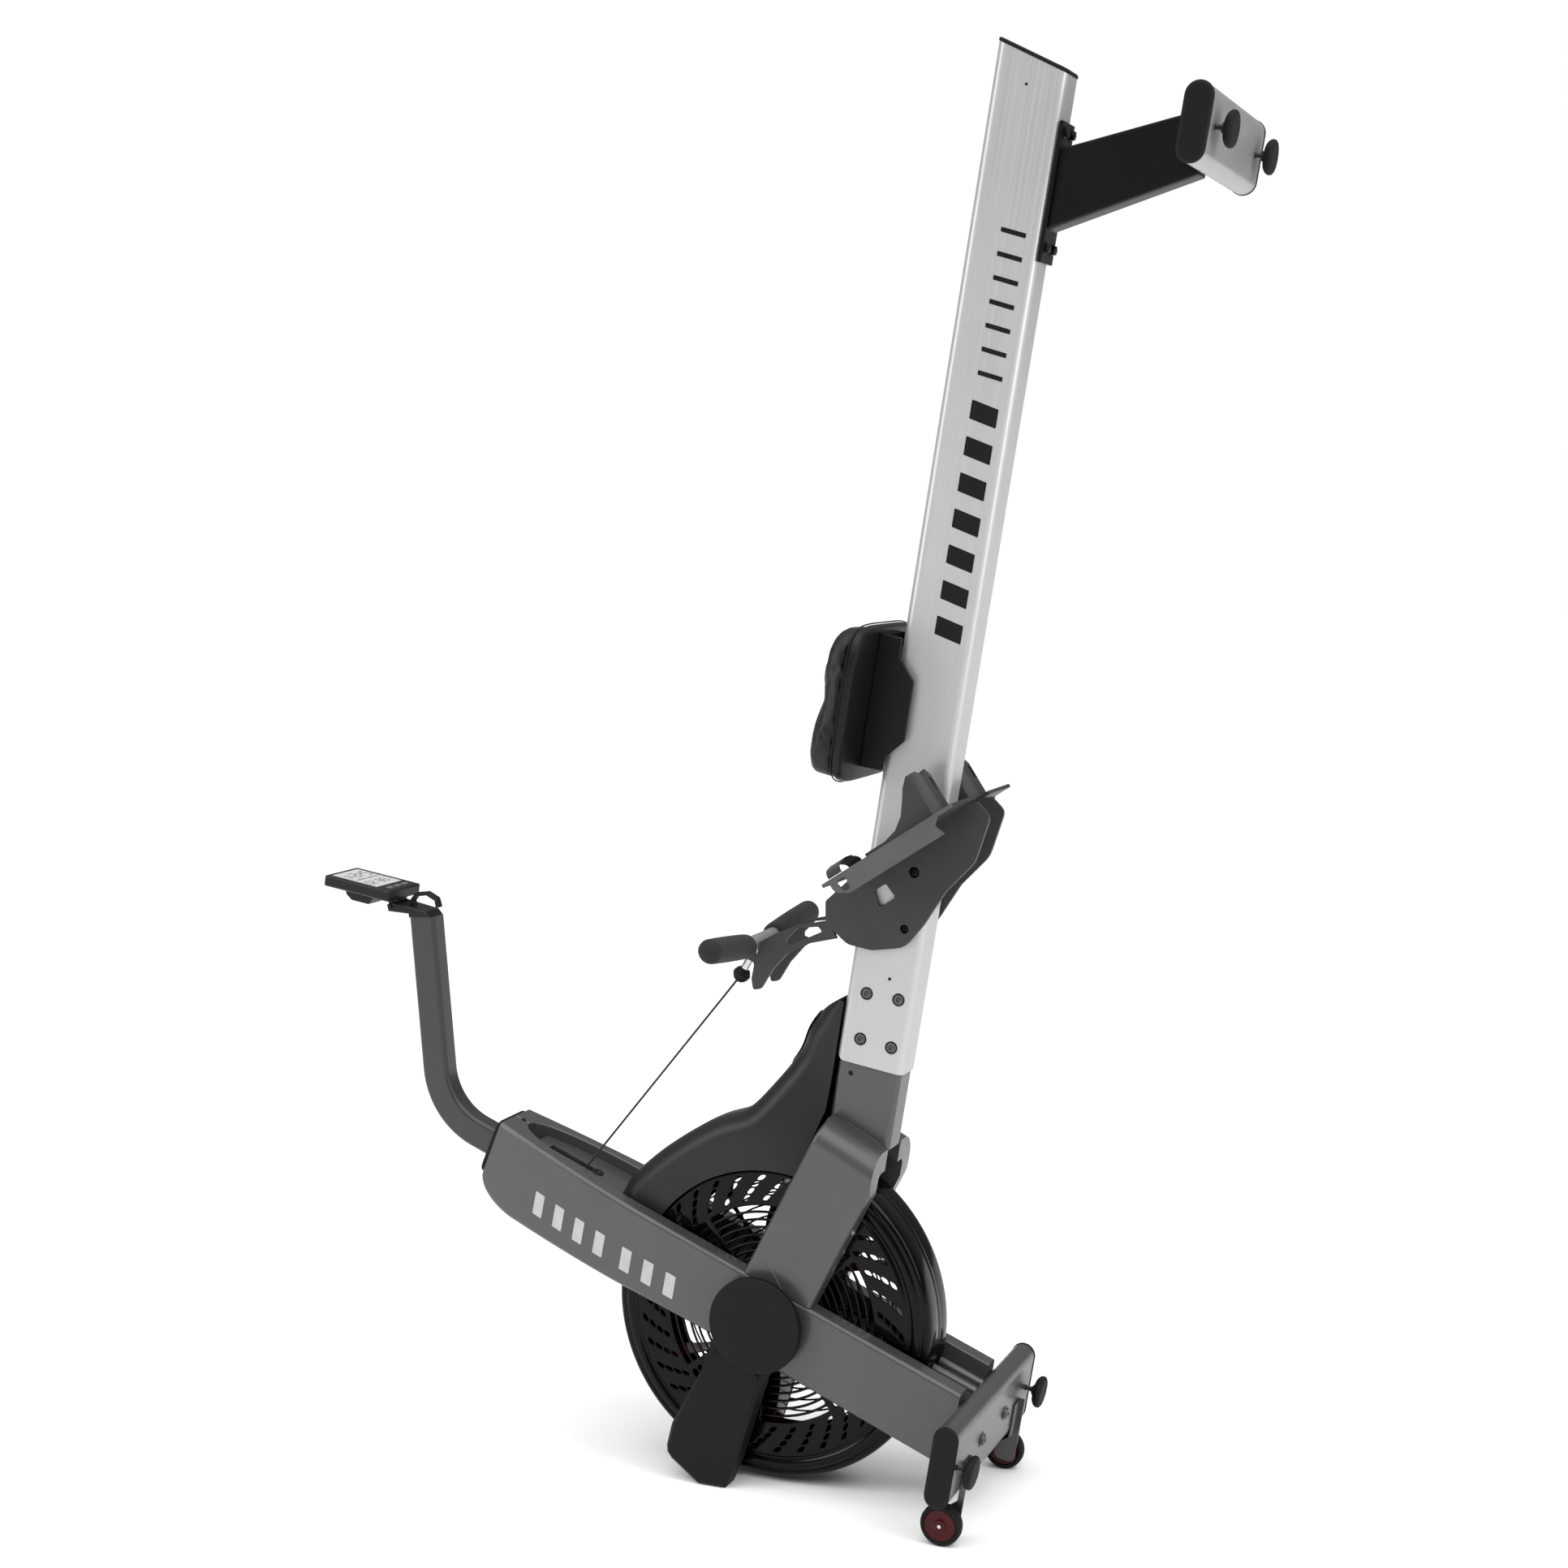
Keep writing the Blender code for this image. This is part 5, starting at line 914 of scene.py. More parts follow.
def build_guard(side, turn):
    """Half of the fan's cage: slotted face, stepped rim and a lip at the middle seam."""
    open_side = side == "right"
    rings, kinds = guard_rings(open_side)
    profile = [(radius, -GUARD_HALF) for radius in rings]
    profile += [spot for spot in RIM_PROFILE if spot[0] > rings[-1]]
    kinds = kinds + ["solid"] * (len(profile) - 1 - len(kinds))
    rows = len(profile) - 1
    bm = bmesh.new()
    bmesh.ops.create_grid(bm, x_segments=GUARD_CELLS, y_segments=rows, size=1.0)
    slots = []
    for face in bm.faces:
        middle = face.calc_center_median()
        cell = int((middle.x + 1) / 2 * GUARD_CELLS)
        kind = kinds[int((middle.y + 1) / 2 * rows)]
        rib = 2 if open_side else 3
        if (kind == "arc" and cell % RIB_CELLS >= rib) or (kind == "dash" and cell % ROW_CELLS < 2):
            slots.append(face)
    bmesh.ops.delete(bm, geom=slots, context="FACES")
    for vert in bm.verts:
        radius, y = profile[round((vert.co.y + 1) / 2 * rows)]
        swirl = SWIRL * max(0.0, min(1.0, (radius - DASH_START) / (4 * DASH_PITCH)))
        vert.co = circle_point(radius, (vert.co.x + 1) * math.pi - swirl, y)
    bmesh.ops.remove_doubles(bm, verts=bm.verts[:], dist=1e-5)
    bmesh.ops.recalc_face_normals(bm, faces=bm.faces)
    if sum(face.normal.y for face in bm.faces) > 0:
        bmesh.ops.reverse_faces(bm, faces=bm.faces[:])
    guard = place_piece(f"guard_{side}", turn(bm), GLOSS_BLACK, "frame", "gloss_black",
                        (f"fan_guard_{side}",), 80.0)
    shell = guard.modifiers.new("sheet", "SOLIDIFY")
    shell.thickness = 0.0026
    shell.offset = -1.0
    smooth = guard.modifiers.new("pressed", "SUBSURF")
    smooth.levels = 1
    smooth.render_levels = 1


def build_hub_cap(side, turn):
    low, high = span("hub_cap_left")
    radius = high.x
    inner, outer = high.y, low.y
    profile = [(0.0, inner), (radius - 0.001, inner), (radius, inner - 0.001), (radius, outer + 0.0035),
               (radius - 0.0008, outer + 0.0018), (radius - 0.0025, outer + 0.0006), (radius - 0.005, outer),
               (radius * 0.6, outer), (0.0, outer)]
    cap = lathe(profile, (0, 0, 0), (0, 1, 0), 96)
    dot = lathe([(0.0, 0.0001), (0.0032, 0.0001), (0.0030, 0.0006), (0.0022, 0.0004), (0.0, 0.0002)],
                (0.0099, outer, -0.0539), (0, -1, 0), 20)
    whole = merge([cap, dot])
    place_flat(f"hub_cover_{side}", turn(whole), [MATTE_BLACK, INK_AND_PAINTED_SHADE_BLACK], "frame", "black_plastic",
               (f"hub_cap_{side}",))


both_sides(build_guard)
both_sides(build_hub_cap)
soften("fan_rotor", RED_PLASTIC, "dark_red", 0.0007)
soften("fan_axle", STEEL, "steel", 0.0008)
soften("cord_drum", BLACK_STEEL, "black_steel", 0.0005)
soften("inner_cord", CORD_NYLON, "cord_nylon", 0.0002)
for bearing in ("fan_bearing_left", "fan_bearing_right"):
    soften(bearing, STEEL, "steel", 0.0006)
for storage_foot in ("storage_foot_left", "storage_foot_right"):
    soften(storage_foot, MATTE_BLACK, "black_plastic", 0.0022, 3, 28.0)

# ---------------------------------------------------------------- shroud


def spline(points, share):
    """Point at a share of the way along a smooth curve through the given points."""
    place = share * (len(points) - 1)
    index = min(int(place), len(points) - 2)
    local = place - index
    p0 = Vector(points[max(index - 1, 0)])
    p1 = Vector(points[index])
    p2 = Vector(points[index + 1])
    p3 = Vector(points[min(index + 2, len(points) - 1)])
    return 0.5 * (2 * p1 + (p2 - p0) * local + (2 * p0 - 5 * p1 + 4 * p2 - p3) * local ** 2
                  + (3 * p1 - p0 - 3 * p2 + p3) * local ** 3)


def even_steps(points, count):
    """The same run of points, spaced evenly along its length."""
    lengths = [0.0]
    for begin, end in zip(points[:-1], points[1:]):
        lengths.append(lengths[-1] + (end - begin).length)
    result = []
    index = 0
    for step in range(count + 1):
        goal = lengths[-1] * step / count
        while index < len(points) - 2 and lengths[index + 1] < goal:
            index += 1
        part = (goal - lengths[index]) / max(1e-9, lengths[index + 1] - lengths[index])
        result.append(points[index].lerp(points[index + 1], min(1.0, part)))
    return result


SHROUD_RIBS = 90
SHROUD_CROWN = 0.040
SHROUD_SIDE_STEPS = 5
SHROUD_CROWN_STEPS = 9
SHROUD_TAPER_X = 0.310
SHROUD_TAPER_LENGTH = 0.170
ARM_CLEAR = 0.002


def build_shroud():
    under = RAIL_HIGH.z + 0.0008
    crest = even_steps([spline(SHROUD_CREST, step / 200) for step in range(201)], SHROUD_RIBS)
    hem = [Vector(along_beam(GUARD_R + 0.0015, OUTLET_T + 0.003))]
    hem += [Vector((SHROUD_EDGE_R * math.cos(a), SHROUD_EDGE_R * math.sin(a)))
            for a in [math.radians(66 - 68 * step / 60) for step in range(61)]]
    hem += [Vector((0.372, under)), Vector((0.5595, under))]
    hem = even_steps(hem, SHROUD_RIBS)
    half_steps = SHROUD_SIDE_STEPS + SHROUD_CROWN_STEPS + 1

    def place(u, v):
        low = hem[round(u * SHROUD_RIBS)]
        top = crest[round(u * SHROUD_RIBS)]
        sign = -1 if v < 0.5 else 1
        climb = round((1 - abs(2 * v - 1)) * half_steps)
        down = (low - top).normalized()
        depth = (low - top).length
        crown = min(SHROUD_CROWN, depth * 0.7)
        taper = max(0.0, min(1.0, (top.x - SHROUD_TAPER_X) / SHROUD_TAPER_LENGTH))
        taper = taper * taper * (3 - 2 * taper)
        half = SHROUD_HALF + (RAIL_HALF_Y - SHROUD_HALF) * taper
        if climb <= SHROUD_SIDE_STEPS:
            spot = low.lerp(top + down * crown, climb / SHROUD_SIDE_STEPS)
            y = half
        else:
            angle = math.pi / 2 * min(1.0, (climb - SHROUD_SIDE_STEPS) / SHROUD_CROWN_STEPS)
            spot = top + down * crown * (1 - math.sin(angle))
            y = half - crown * (1 - math.cos(angle))
            if climb == half_steps:
                y = 0.0
        return Vector((spot.x, sign * y, spot.y))

    bm = sheet(SHROUD_RIBS, 2 * half_steps, place, SHROUD_WALL)
    shroud = place_piece("fan_shroud", bm, SHROUD_PLASTIC, "frame", "shroud_plastic", ("shroud",), 50.0)
    half = ARM_HALF + ARM_CLEAR
    far = ARM_SHOULDER + ARM_CLEAR
    corners = [(0.02, -half), (far, -half), (far, half), (0.02, half)]
    lean = Matrix.Rotation(-ARM_LEAN, 2)
    carve(shroud, prism([tuple(lean @ Vector(point)) for point in corners], -0.10, 0.10))


build_shroud()

# ---------------------------------------------------------------- mast and monitor


def mast_route(steps=30):
    """Centre line: out of the head, round the bend, then straight up the rail's way."""
    start = Vector(along_beam(HEAD_END + 0.009, 0.003))
    first = Vector((math.sin(BEAM_LEAN), math.cos(BEAM_LEAN)))
    last = Vector((math.cos(MAST_ANGLE), math.sin(MAST_ANGLE)))
    reach = Matrix(((first.x, -last.x), (first.y, -last.y))).inverted() @ (MAST_TOP - start)
    corner = start + first * reach[0]
    half = (-first).angle(last) / 2
    trim = min(0.13 / math.tan(half), reach[0] * 0.85)
    bend = trim * math.tan(half)
    centre = corner + (last - first).normalized() * bend / math.sin(half)
    turn = math.copysign(first.angle(last), first.cross(last))
    route = [(start, first)]
    for step in range(steps + 1):
        arm = corner - first * trim - centre
        way = first.copy()
        arm.rotate(Matrix.Rotation(turn * step / steps, 2))
        way.rotate(Matrix.Rotation(turn * step / steps, 2))
        route.append((centre + arm, way))
    route.append((MAST_TOP, last))
    return route


def build_mast():
    rings = []
    for point, way in mast_route():
        across = Vector((-way.y, way.x))
        corners = [(-0.026, -0.020), (0.026, -0.020), (0.026, 0.020), (-0.026, 0.020)]
        ring = [(point + across * a, y) for a, y in rounded(corners, 0.008, 6)]
        rings.append([(spot.x, y, spot.y) for spot, y in ring])
    place_flat("mast_tube", loft(rings), MAST_PAINT, "frame", "mast_paint", ("monitor_mast",))


def digit_strokes(figure):
    """Which of the seven strokes are lit: top, two upper sides, middle, two lower sides, bottom."""
    return {0: (0, 1, 2, 4, 5, 6), 1: (2, 5), 2: (0, 2, 3, 4, 6), 3: (0, 2, 3, 5, 6), 4: (1, 2, 3, 5),
            5: (0, 1, 3, 5, 6), 8: (0, 1, 2, 3, 4, 5, 6)}[figure]


def build_screen():
    """Reflective display: plain figures in dark strokes on the face of its grey plate."""
    low, high = span("monitor_screen")
    face = high.x
    glass = rounded([(low.z, low.y), (high.z, low.y), (high.z, high.y), (low.z, high.y)], 0.002, 4)
    plate = loft([[(x, y, z) for z, y in glass] for x in (low.x, face)])
    marks = []

    def stroke(y, z, wide, tall):
        corners = rounded([(z, y), (z + tall, y), (z + tall, y + wide), (z, y + wide)],
                          min(wide, tall) * 0.35, 3)
        marks.append(loft([[(x, b, a) for a, b in corners] for x in (face + 0.00003, face + 0.00012)]))

    def number(y, z, size, figures):
        for index, figure in enumerate(figures):
            left = y - index * size * 0.72
            for part in digit_strokes(figure):
                wide, tall = size * 0.46, size * 0.085
                if part in (0, 3, 6):
                    stroke(left - wide, z + (size, 0, 0, size / 2, 0, 0, 0)[part], wide, tall)
                else:
                    side_y = left if part in (1, 4) else left - wide
                    stroke(side_y - tall / 2, z + (size / 2 if part in (1, 2) else 0) + tall, tall,
                           size * 0.40)

    number(0.036, low.z + 0.058, 0.024, (2, 4, 5))
    number(-0.012, low.z + 0.062, 0.015, (1, 0))
    number(0.036, low.z + 0.014, 0.018, (1, 3, 8))
    number(-0.012, low.z + 0.014, 0.018, (5, 0))
    stroke(-0.038, low.z + 0.046, 0.076, 0.0006)
    for index in range(9):
        stroke(0.034 - index * 0.0082, low.z + 0.0475, 0.0050, 0.0015 + 0.0007 * (index % 4))
    place_piece("display_glass", plate, SCREEN_GLASS, "monitor", "screen_grey", ("monitor_screen",))
    place_piece("display_figures", join(marks), INK_AND_PAINTED_SHADE_BLACK, "monitor", "black_plastic")


build_mast()
soften("monitor_bracket", CASE_BLACK, "black_plastic", 0.0009)
soften("monitor_case", CASE_BLACK, "black_plastic", 0.0012, 3)
build_screen()
for count in (1, 2, 3):
    soften(f"monitor_button_{count}", BUTTON_GREY, "button_grey", 0.0007)

# ---------------------------------------------------------------- cross bars, caps, levelling feet, wheels


def oval(half, thick, steps=18):
    """Flat-oval outline, long way along the first axis."""
    radius = thick / 2
    outline = []
    for centre, begin in ((half - radius, -math.pi / 2), (radius - half, math.pi / 2)):
        for step in range(steps + 1):
            angle = begin + math.pi * step / steps
            outline.append((centre + radius * math.cos(angle), radius * math.sin(angle)))
    return outline


STEM_BORE_R = 0.0054
STEM_BORE_OVER = 0.012
FOOT_TRAVEL = 0.010
NUT_CLEAR = 0.0005
PUCK_THICK = 0.0170
STEM_SUNK = 0.0163
THREAD_TURNS = 9
FRONT_BAR_MID = (-0.093, -0.383)
REAR_BAR_MID = (2.001, -0.4064)


def build_cross_bar(prefix, mid, half, thick, reach, mat, slot):
    def ring(grow, y):
        return [(mid[0] + x, y, mid[1] + z) for x, z in oval(half + grow, thick + 2 * grow)]
    tube = loft([ring(-0.0008, -reach), ring(0.0, -reach + 0.0008), ring(0.0, reach - 0.0008),
                 ring(-0.0008, reach)])
    bar = place_piece(f"{prefix}_tube", tube, mat, "frame", slot)
    for side in ("left", "right"):
        low, high = span(f"{prefix[:-4]}_foot_{side}")
        y = (low.y + high.y) / 2
        carve(bar, rod(STEM_BORE_R, (mid[0], y, low.z), (mid[0], y, high.z + STEM_BORE_OVER)))
    weigh_normals(bar)
    for side, turn in SIDES:
        cap = loft([ring(0.0002, -reach - GAP), ring(0.001, -reach - 0.0010), ring(0.001, -reach - 0.0038),
                    ring(-0.0002, -reach - 0.0054), ring(-0.0025, -reach - 0.0068),
                    ring(-0.0060, -reach - 0.0074)])
        place_flat(f"{prefix}_end_{side}", turn(cap), MATTE_BLACK, "frame", "black_plastic",
                   (f"{prefix}_cap_{side}",))


def build_levelling_foot(node, mid_x):
    """Rubber puck on a threaded stem with its lock nut, low enough for the foot's travel."""
    low, high = span(node)
    y = (low.y + high.y) / 2
    radius = high.x - mid_x
    bottom, puck_top = low.z, low.z + PUCK_THICK
    stem_top = high.z - STEM_SUNK
    puck = [(0.0, bottom), (radius * 0.72, bottom), (radius * 0.88, bottom + 0.0006),
            (radius * 0.97, bottom + 0.0025),
            (radius, bottom + 0.0055), (radius * 0.985, bottom + 0.0085), (radius * 0.90, bottom + 0.0120),
            (radius * 0.74, bottom + 0.0148), (radius * 0.50, puck_top - 0.0006), (0.0086, puck_top),
            (0.0, puck_top)]
    thread = [(0.0, puck_top - 0.0006)]
    pitch = (stem_top - puck_top) / THREAD_TURNS
    for turn in range(THREAD_TURNS):
        z = puck_top + (stem_top - puck_top) * turn / THREAD_TURNS
        thread += [(0.0040, z), (0.0050, z + pitch * 0.5)]
    thread += [(0.0040, stem_top - 0.0002), (0.0, stem_top - 0.0002)]
    nut_high = stem_top - puck_top - FOOT_TRAVEL - NUT_CLEAR
    nut = hex_nut(0.0088, nut_high, (mid_x, y, puck_top + nut_high / 2), nut_high * 0.15)
    whole = merge([lathe(puck, (mid_x, y, 0), (0, 0, 1), 40), lathe(thread, (mid_x, y, 0), (0, 0, 1), 24),
                   nut])
    place_flat(f"{node}_screw", whole, [RUBBER, STEEL, CASE_BLACK], BODY_OF[node], "rubber", (node,))


def build_wheel(side, turn):
    low, high = span("transport_wheel_left")
    centre = ((low.x + high.x) / 2, 0, (low.z + high.z) / 2)
    radius = (high.x - low.x) / 2
    outer, inner = low.y, high.y
    tyre = [(radius * 0.76, outer + 0.0035), (radius * 0.80, outer + 0.0015), (radius * 0.90, outer + 0.0010),
            (radius * 0.965, outer + 0.0030), (radius * 0.995, outer + 0.0065), (radius, outer + 0.0115),
            (radius * 0.995, inner - 0.0065), (radius * 0.965, inner - 0.0025),
            (radius * 0.90, inner - 0.0006),
            (radius * 0.80, inner - 0.0006), (radius * 0.76, inner - 0.0030)]
    disc = [(0.0045, outer + 0.0006), (0.0085, outer + 0.0002), (0.0105, outer + 0.0010),
            (0.0115, outer + 0.0030),
            (0.0150, outer + 0.0040), (0.0190, outer + 0.0030), (0.0225, outer + 0.0022),
            (radius * 0.75, outer + 0.0028),
            (radius * 0.755, inner - 0.0030), (0.0200, inner - 0.0040), (0.0120, inner - 0.0022),
            (0.0045, inner - 0.0020)]
    pin = [(0.0, outer - 0.0012), (0.0030, outer - 0.0010), (0.0039, outer - 0.0002),
           (0.0039, outer + 0.0060),
           (0.0, outer + 0.0060)]
    whole = merge([lathe(tyre, centre, segments=64), lathe(disc, centre, segments=64),
                   lathe(pin, centre, segments=20)])
    place_piece(f"wheel_{side}_turned", turn(whole), [RUBBER, RED_PLASTIC, CHROME], f"wheel_{side}",
                "dark_red",
                (f"transport_wheel_{side}",))
    soften(f"wheel_bracket_{side}", BOLT_STEEL, "chrome", 0.0006)


build_cross_bar("front_bar", FRONT_BAR_MID, 0.0685, 0.040, 0.205, FRAME_PAINT, "frame_paint")
build_cross_bar("rear_bar", REAR_BAR_MID, 0.058, 0.042, 0.180, SILVER_PAINT, "silver_paint")
for foot_side in ("left", "right"):
    build_levelling_foot(f"front_foot_{foot_side}", FRONT_BAR_MID[0])
    build_levelling_foot(f"rear_foot_{foot_side}", REAR_BAR_MID[0])
both_sides(build_wheel)


def build_end_bolts():
    """Stays behind the guard, the bolts that hold the front bar, and the rear flange's hex heads."""
    stays = []
    for y in (-0.018, 0.018):
        low = along_beam(-0.3665, 0.047)
        high = along_beam(-GUARD_R + 0.0030, 0.047)
        stays.append(rod(0.008, (low[0], y, low[1]), (high[0], y, high[1]), 28, 0.001))
    place_piece("guard_stays", join(stays), FRAME_PAINT, "frame", "frame_paint", ("front_bar", "rear_bar"))
    heads = []
    for y in (-0.062, 0.062):
        heads.append(lathe([(0.0, 0.0002), (0.0125, 0.0002), (0.0125, 0.0012), (0.0098, 0.0020),
                            (0.0092, 0.0050),
                            (0.0070, 0.0064), (0.0034, 0.0068), (0.0034, 0.0034), (0.0, 0.0034)],
                           (FRONT_BAR_MID[0], y, -0.403), (0, 0, -1), 36))
    place_piece("front_bar_bolts", join(heads), BOLT_STEEL, "frame", "steel")
    nuts = []
    for x in (1.8105, 1.9865):
        for y in (-0.017, 0.017):
            nuts.append(hex_nut(0.0078, 0.0060, (x, y, RAIL_LOW.z - 0.0105), 0.0007))
            nuts.append(rod(0.0098, (x, y, RAIL_LOW.z - 0.0076), (x, y, RAIL_LOW.z - 0.0064), 28, 0.0003))
    place_piece("rear_flange_nuts", join(nuts), BLACK_STEEL, "frame", "black_steel")


build_end_bolts()
soften("rear_leg", BLACK_STEEL, "black_steel", 0.0011, 3, 28.0)

# ---------------------------------------------------------------- footrests, heel cups, straps


def build_footrest(side, turn):
    """Side plate and tray; the tray's outer flange is in a lighter grey."""
    node = f"footrest_{side}"
    bm = node_mesh(node)
    round_edges(bm, hard_edges(bm, 32, 0.0018), 0.0008, clamped=True)
    for face in bm.faces:
        face.material_index = int(abs(face.calc_center_median().y) > 0.1455)
    place_flat(f"{node}_moulding", bm, [REST_PLASTIC, RIM_PLASTIC], "frame", "foot_plastic", (node,),
               in_machine=False)
    ribs = []
    for index in range(9):
        s = 0.012 + index * 0.021
        low, high = on_tray(s, -0.001), on_tray(s, 0.0002)
        rib = rod(0.0011, (high[0], -0.136, high[1]), (low[0] + 0.0004, -0.058, high[1]), 10)
        ribs.append(rib)
    place_piece(f"tray_ribs_{side}", turn(join(ribs)), REST_PLASTIC, "frame", "foot_plastic")
    heads = []
    for x, z, radius in ((0.8024, -0.1243, 0.0088), (0.7064, -0.1235, 0.0072)):
        heads.append(lathe([(0.0, 0.0), (radius, 0.0), (radius, 0.0020), (radius * 0.7, 0.0040),
                            (radius * 0.34, 0.0044),
                            (radius * 0.34, 0.0016), (0.0, 0.0016)], (x, -RAIL_HALF_Y - 0.0004, z),
                           (0, -1, 0), 28))
    place_piece(f"footrest_screws_{side}", turn(join(heads)), BLACK_STEEL, "frame", "black_steel")


STRAP_START = -0.020
STRAP_WIDTH = 0.026
STRAP_REACH = 0.049
STRAP_RISE = 0.018
BUCKLE_WIRE = 0.0013
BUCKLE_HALF = 0.013
BUCKLE_OVER = 0.003
BUCKLE_LIFT = 0.0016


def build_strap(side, turn):
    """Webbing band arched over the foot, with its slide buckle."""
    def place(u, v):
        angle = math.pi * u
        y = STRAP_MID - STRAP_REACH * math.cos(angle)
        cup = 0.0008 * (2 * v - 1) ** 2
        x, z = on_tray(STRAP_START + STRAP_WIDTH * v, 0.0012 + (STRAP_RISE - cup) * math.sin(angle) ** 0.6)
        return Vector((x, y, z))
    band = sheet(64, 8, place, 0.0022, (0.12, STRAP_WIDTH))
    place_piece(f"toe_band_{side}", turn(band), WEBBING, "frame", "webbing", (f"toe_strap_{side}",), 60.0)
    frame_parts = []
    ends = [on_tray(s, BUCKLE_LIFT + STRAP_RISE)
            for s in (STRAP_START - BUCKLE_OVER, STRAP_START + STRAP_WIDTH + BUCKLE_OVER)]
    for y in (STRAP_MID - BUCKLE_HALF, STRAP_MID, STRAP_MID + BUCKLE_HALF):
        low, high = [(x, y, z) for x, z in ends]
        frame_parts.append(rod(BUCKLE_WIRE, low, high, 12, 0.0003))
    for x, z in ends:
        low, high = [(x, y, z) for y in (STRAP_MID - BUCKLE_HALF, STRAP_MID + BUCKLE_HALF)]
        frame_parts.append(rod(BUCKLE_WIRE, low, high, 12, 0.0003))
    place_piece(f"strap_buckle_{side}", turn(join(frame_parts)), CASE_BLACK, "frame", "black_plastic")


both_sides(build_footrest)
both_sides(build_strap)
for cup_side in ("left", "right"):
    soften(f"heel_cup_{cup_side}", REST_PLASTIC, "foot_plastic", 0.0009, 2)

# ---------------------------------------------------------------- handle and cord
BAR_AT = (0.6175, 0.1405)
BAR_R = 0.0135
GRIP_R = 0.0205
GRIP_START = 0.056
GRIP_END = 0.222
GRIP_SWEEP = math.radians(6.5)
BALL_AT = (0.5531, 0.1641)
BALL_R = 0.0145


def bar_ring(y, radius, count=36):
    back = math.tan(GRIP_SWEEP) * max(0.0, abs(y) - GRIP_START)
    return [(BAR_AT[0] + back + radius * math.cos(a), y, BAR_AT[1] + radius * math.sin(a))
            for a in [2 * math.pi * k / count for k in range(count)]]


def build_handle():
    ends = GRIP_START + 0.010
    bar = loft([bar_ring(y, BAR_R) for y in (-ends, -0.030, 0.030, ends)])
    place_piece("handle_tube", bar, SILVER_PAINT, "handle", "silver_paint", ("handle_bar",))
    stem = Vector(BALL_AT) - Vector(BAR_AT)
    neck = Vector((BAR_AT[0] + stem.x * 0.84, 0, BAR_AT[1] + stem.y * 0.84))
    collar = lathe([(0.0, 0.006), (0.0105, 0.006), (0.0112, 0.0135), (0.0105, 0.0175), (0.0078, 0.0195),
                    (0.0070, 0.0240), (0.0070, (neck - Vector((BAR_AT[0], 0, BAR_AT[1]))).length),
                    (0.0, 0.058)],
                   (BAR_AT[0], 0, BAR_AT[1]), (stem.x, 0, stem.y), 32)
    place_piece("handle_eye_bolt", collar, CHROME, "handle", "chrome")
    ball = lathe([(0.0, -BALL_R)] + [(BALL_R * math.cos(a), BALL_R * math.sin(a))
                                     for a in [math.radians(-80 + 10 * k) for k in range(17)]] + [(0.0,
                                                                                                   BALL_R)],
                 (BALL_AT[0], 0, BALL_AT[1]), (stem.x, 0, stem.y), 40)
    band = lathe([(BALL_R * 0.96, -0.0022), (BALL_R + 0.0008, -0.0018), (BALL_R + 0.0008, 0.0018),
                  (BALL_R * 0.96, 0.0022)], (BALL_AT[0], 0, BALL_AT[1]), (stem.x, 0, stem.y), 40)
    place_piece("cord_ball", merge([ball, band]), [RUBBER, CASE_BLACK], "handle", "rubber", ("cord_fitting",))
    for side, sign in (("left", -1), ("right", 1)):
        shape = [(GRIP_START, GRIP_R - 0.0052), (GRIP_START, GRIP_R - 0.0022),
                 (GRIP_START + 0.0012, GRIP_R - 0.0008),
                 (GRIP_START + 0.0035, GRIP_R - 0.0001), (GRIP_START + 0.008, GRIP_R + 0.0002)]
        shape += [(GRIP_START + 0.012 + 0.006 * k,
                   GRIP_R + 0.0004 + 0.0007 * math.sin(math.pi * (k + 1) / 24))
                  for k in range(23)]
        shape += [(GRIP_END - 0.016 + 0.016 * math.sin(a), GRIP_R - 0.0150 + 0.0153 * math.cos(a))
                  for a in [math.pi / 2 * k / 8 for k in range(9)]]
        rings = [bar_ring(y, radius, 40) for y, radius in shape]
        grip = loft([[(x, sign * y, z) for x, y, z in ring] for ring in rings])
        place_piece(f"grip_{side}", grip, GRIP_FOAM, "handle", "rubber", (f"handle_grip_{side}",), 60.0)


CORD_R = 0.0019
CORD_SPLIT_Z = 0.3


def middle_of(points):
    return sum(points, Vector()) / len(points)


def build_pull_cord():
    """Taut braided cord from the ball on the handle to the fairlead in the head."""
    points = [TO_MACHINE @ vert.co for vert in frame["nodes"]["pull_cord"].data.vertices]
    top = middle_of([point for point in points if point.z < CORD_SPLIT_Z])
    low = middle_of([point for point in points if point.z > CORD_SPLIT_Z])
    way = (low - top).normalized()
    side = way.orthogonal().normalized()
    other = way.cross(side)
    length = (low - top).length

    def place(u, v):
        angle = 2 * math.pi * u
        ripple = CORD_R * (1.0 + 0.06 * math.sin(v * length / 0.0035 * math.pi + 2 * angle))
        return top + way * (v * length) + (side * math.cos(angle) + other * math.sin(angle)) * ripple
    cord = sheet(12, 400, place, 0.0, (0.009, length))
    bmesh.ops.remove_doubles(cord, verts=cord.verts[:], dist=1e-6)
    bmesh.ops.holes_fill(cord, edges=[edge for edge in cord.edges if edge.is_boundary], sides=0)
    bmesh.ops.recalc_face_normals(cord, faces=cord.faces)
    cord.transform(TO_WORLD)
    mesh = bpy.data.meshes.new("pull_rope")
    cord.to_mesh(mesh)
    cord.free()
    mesh.materials.append(CORD_NYLON)
    mesh.shade_smooth()
    obj = link_new("pull_rope", mesh)
    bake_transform(obj)
    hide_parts("pull_cord")


build_handle()
build_pull_cord()

# ---------------------------------------------------------------- seat
SEAT_LOW, SEAT_HIGH = span("seat_pad")
TRAY_DEEP = 0.014
PAD_CAP = 0.006


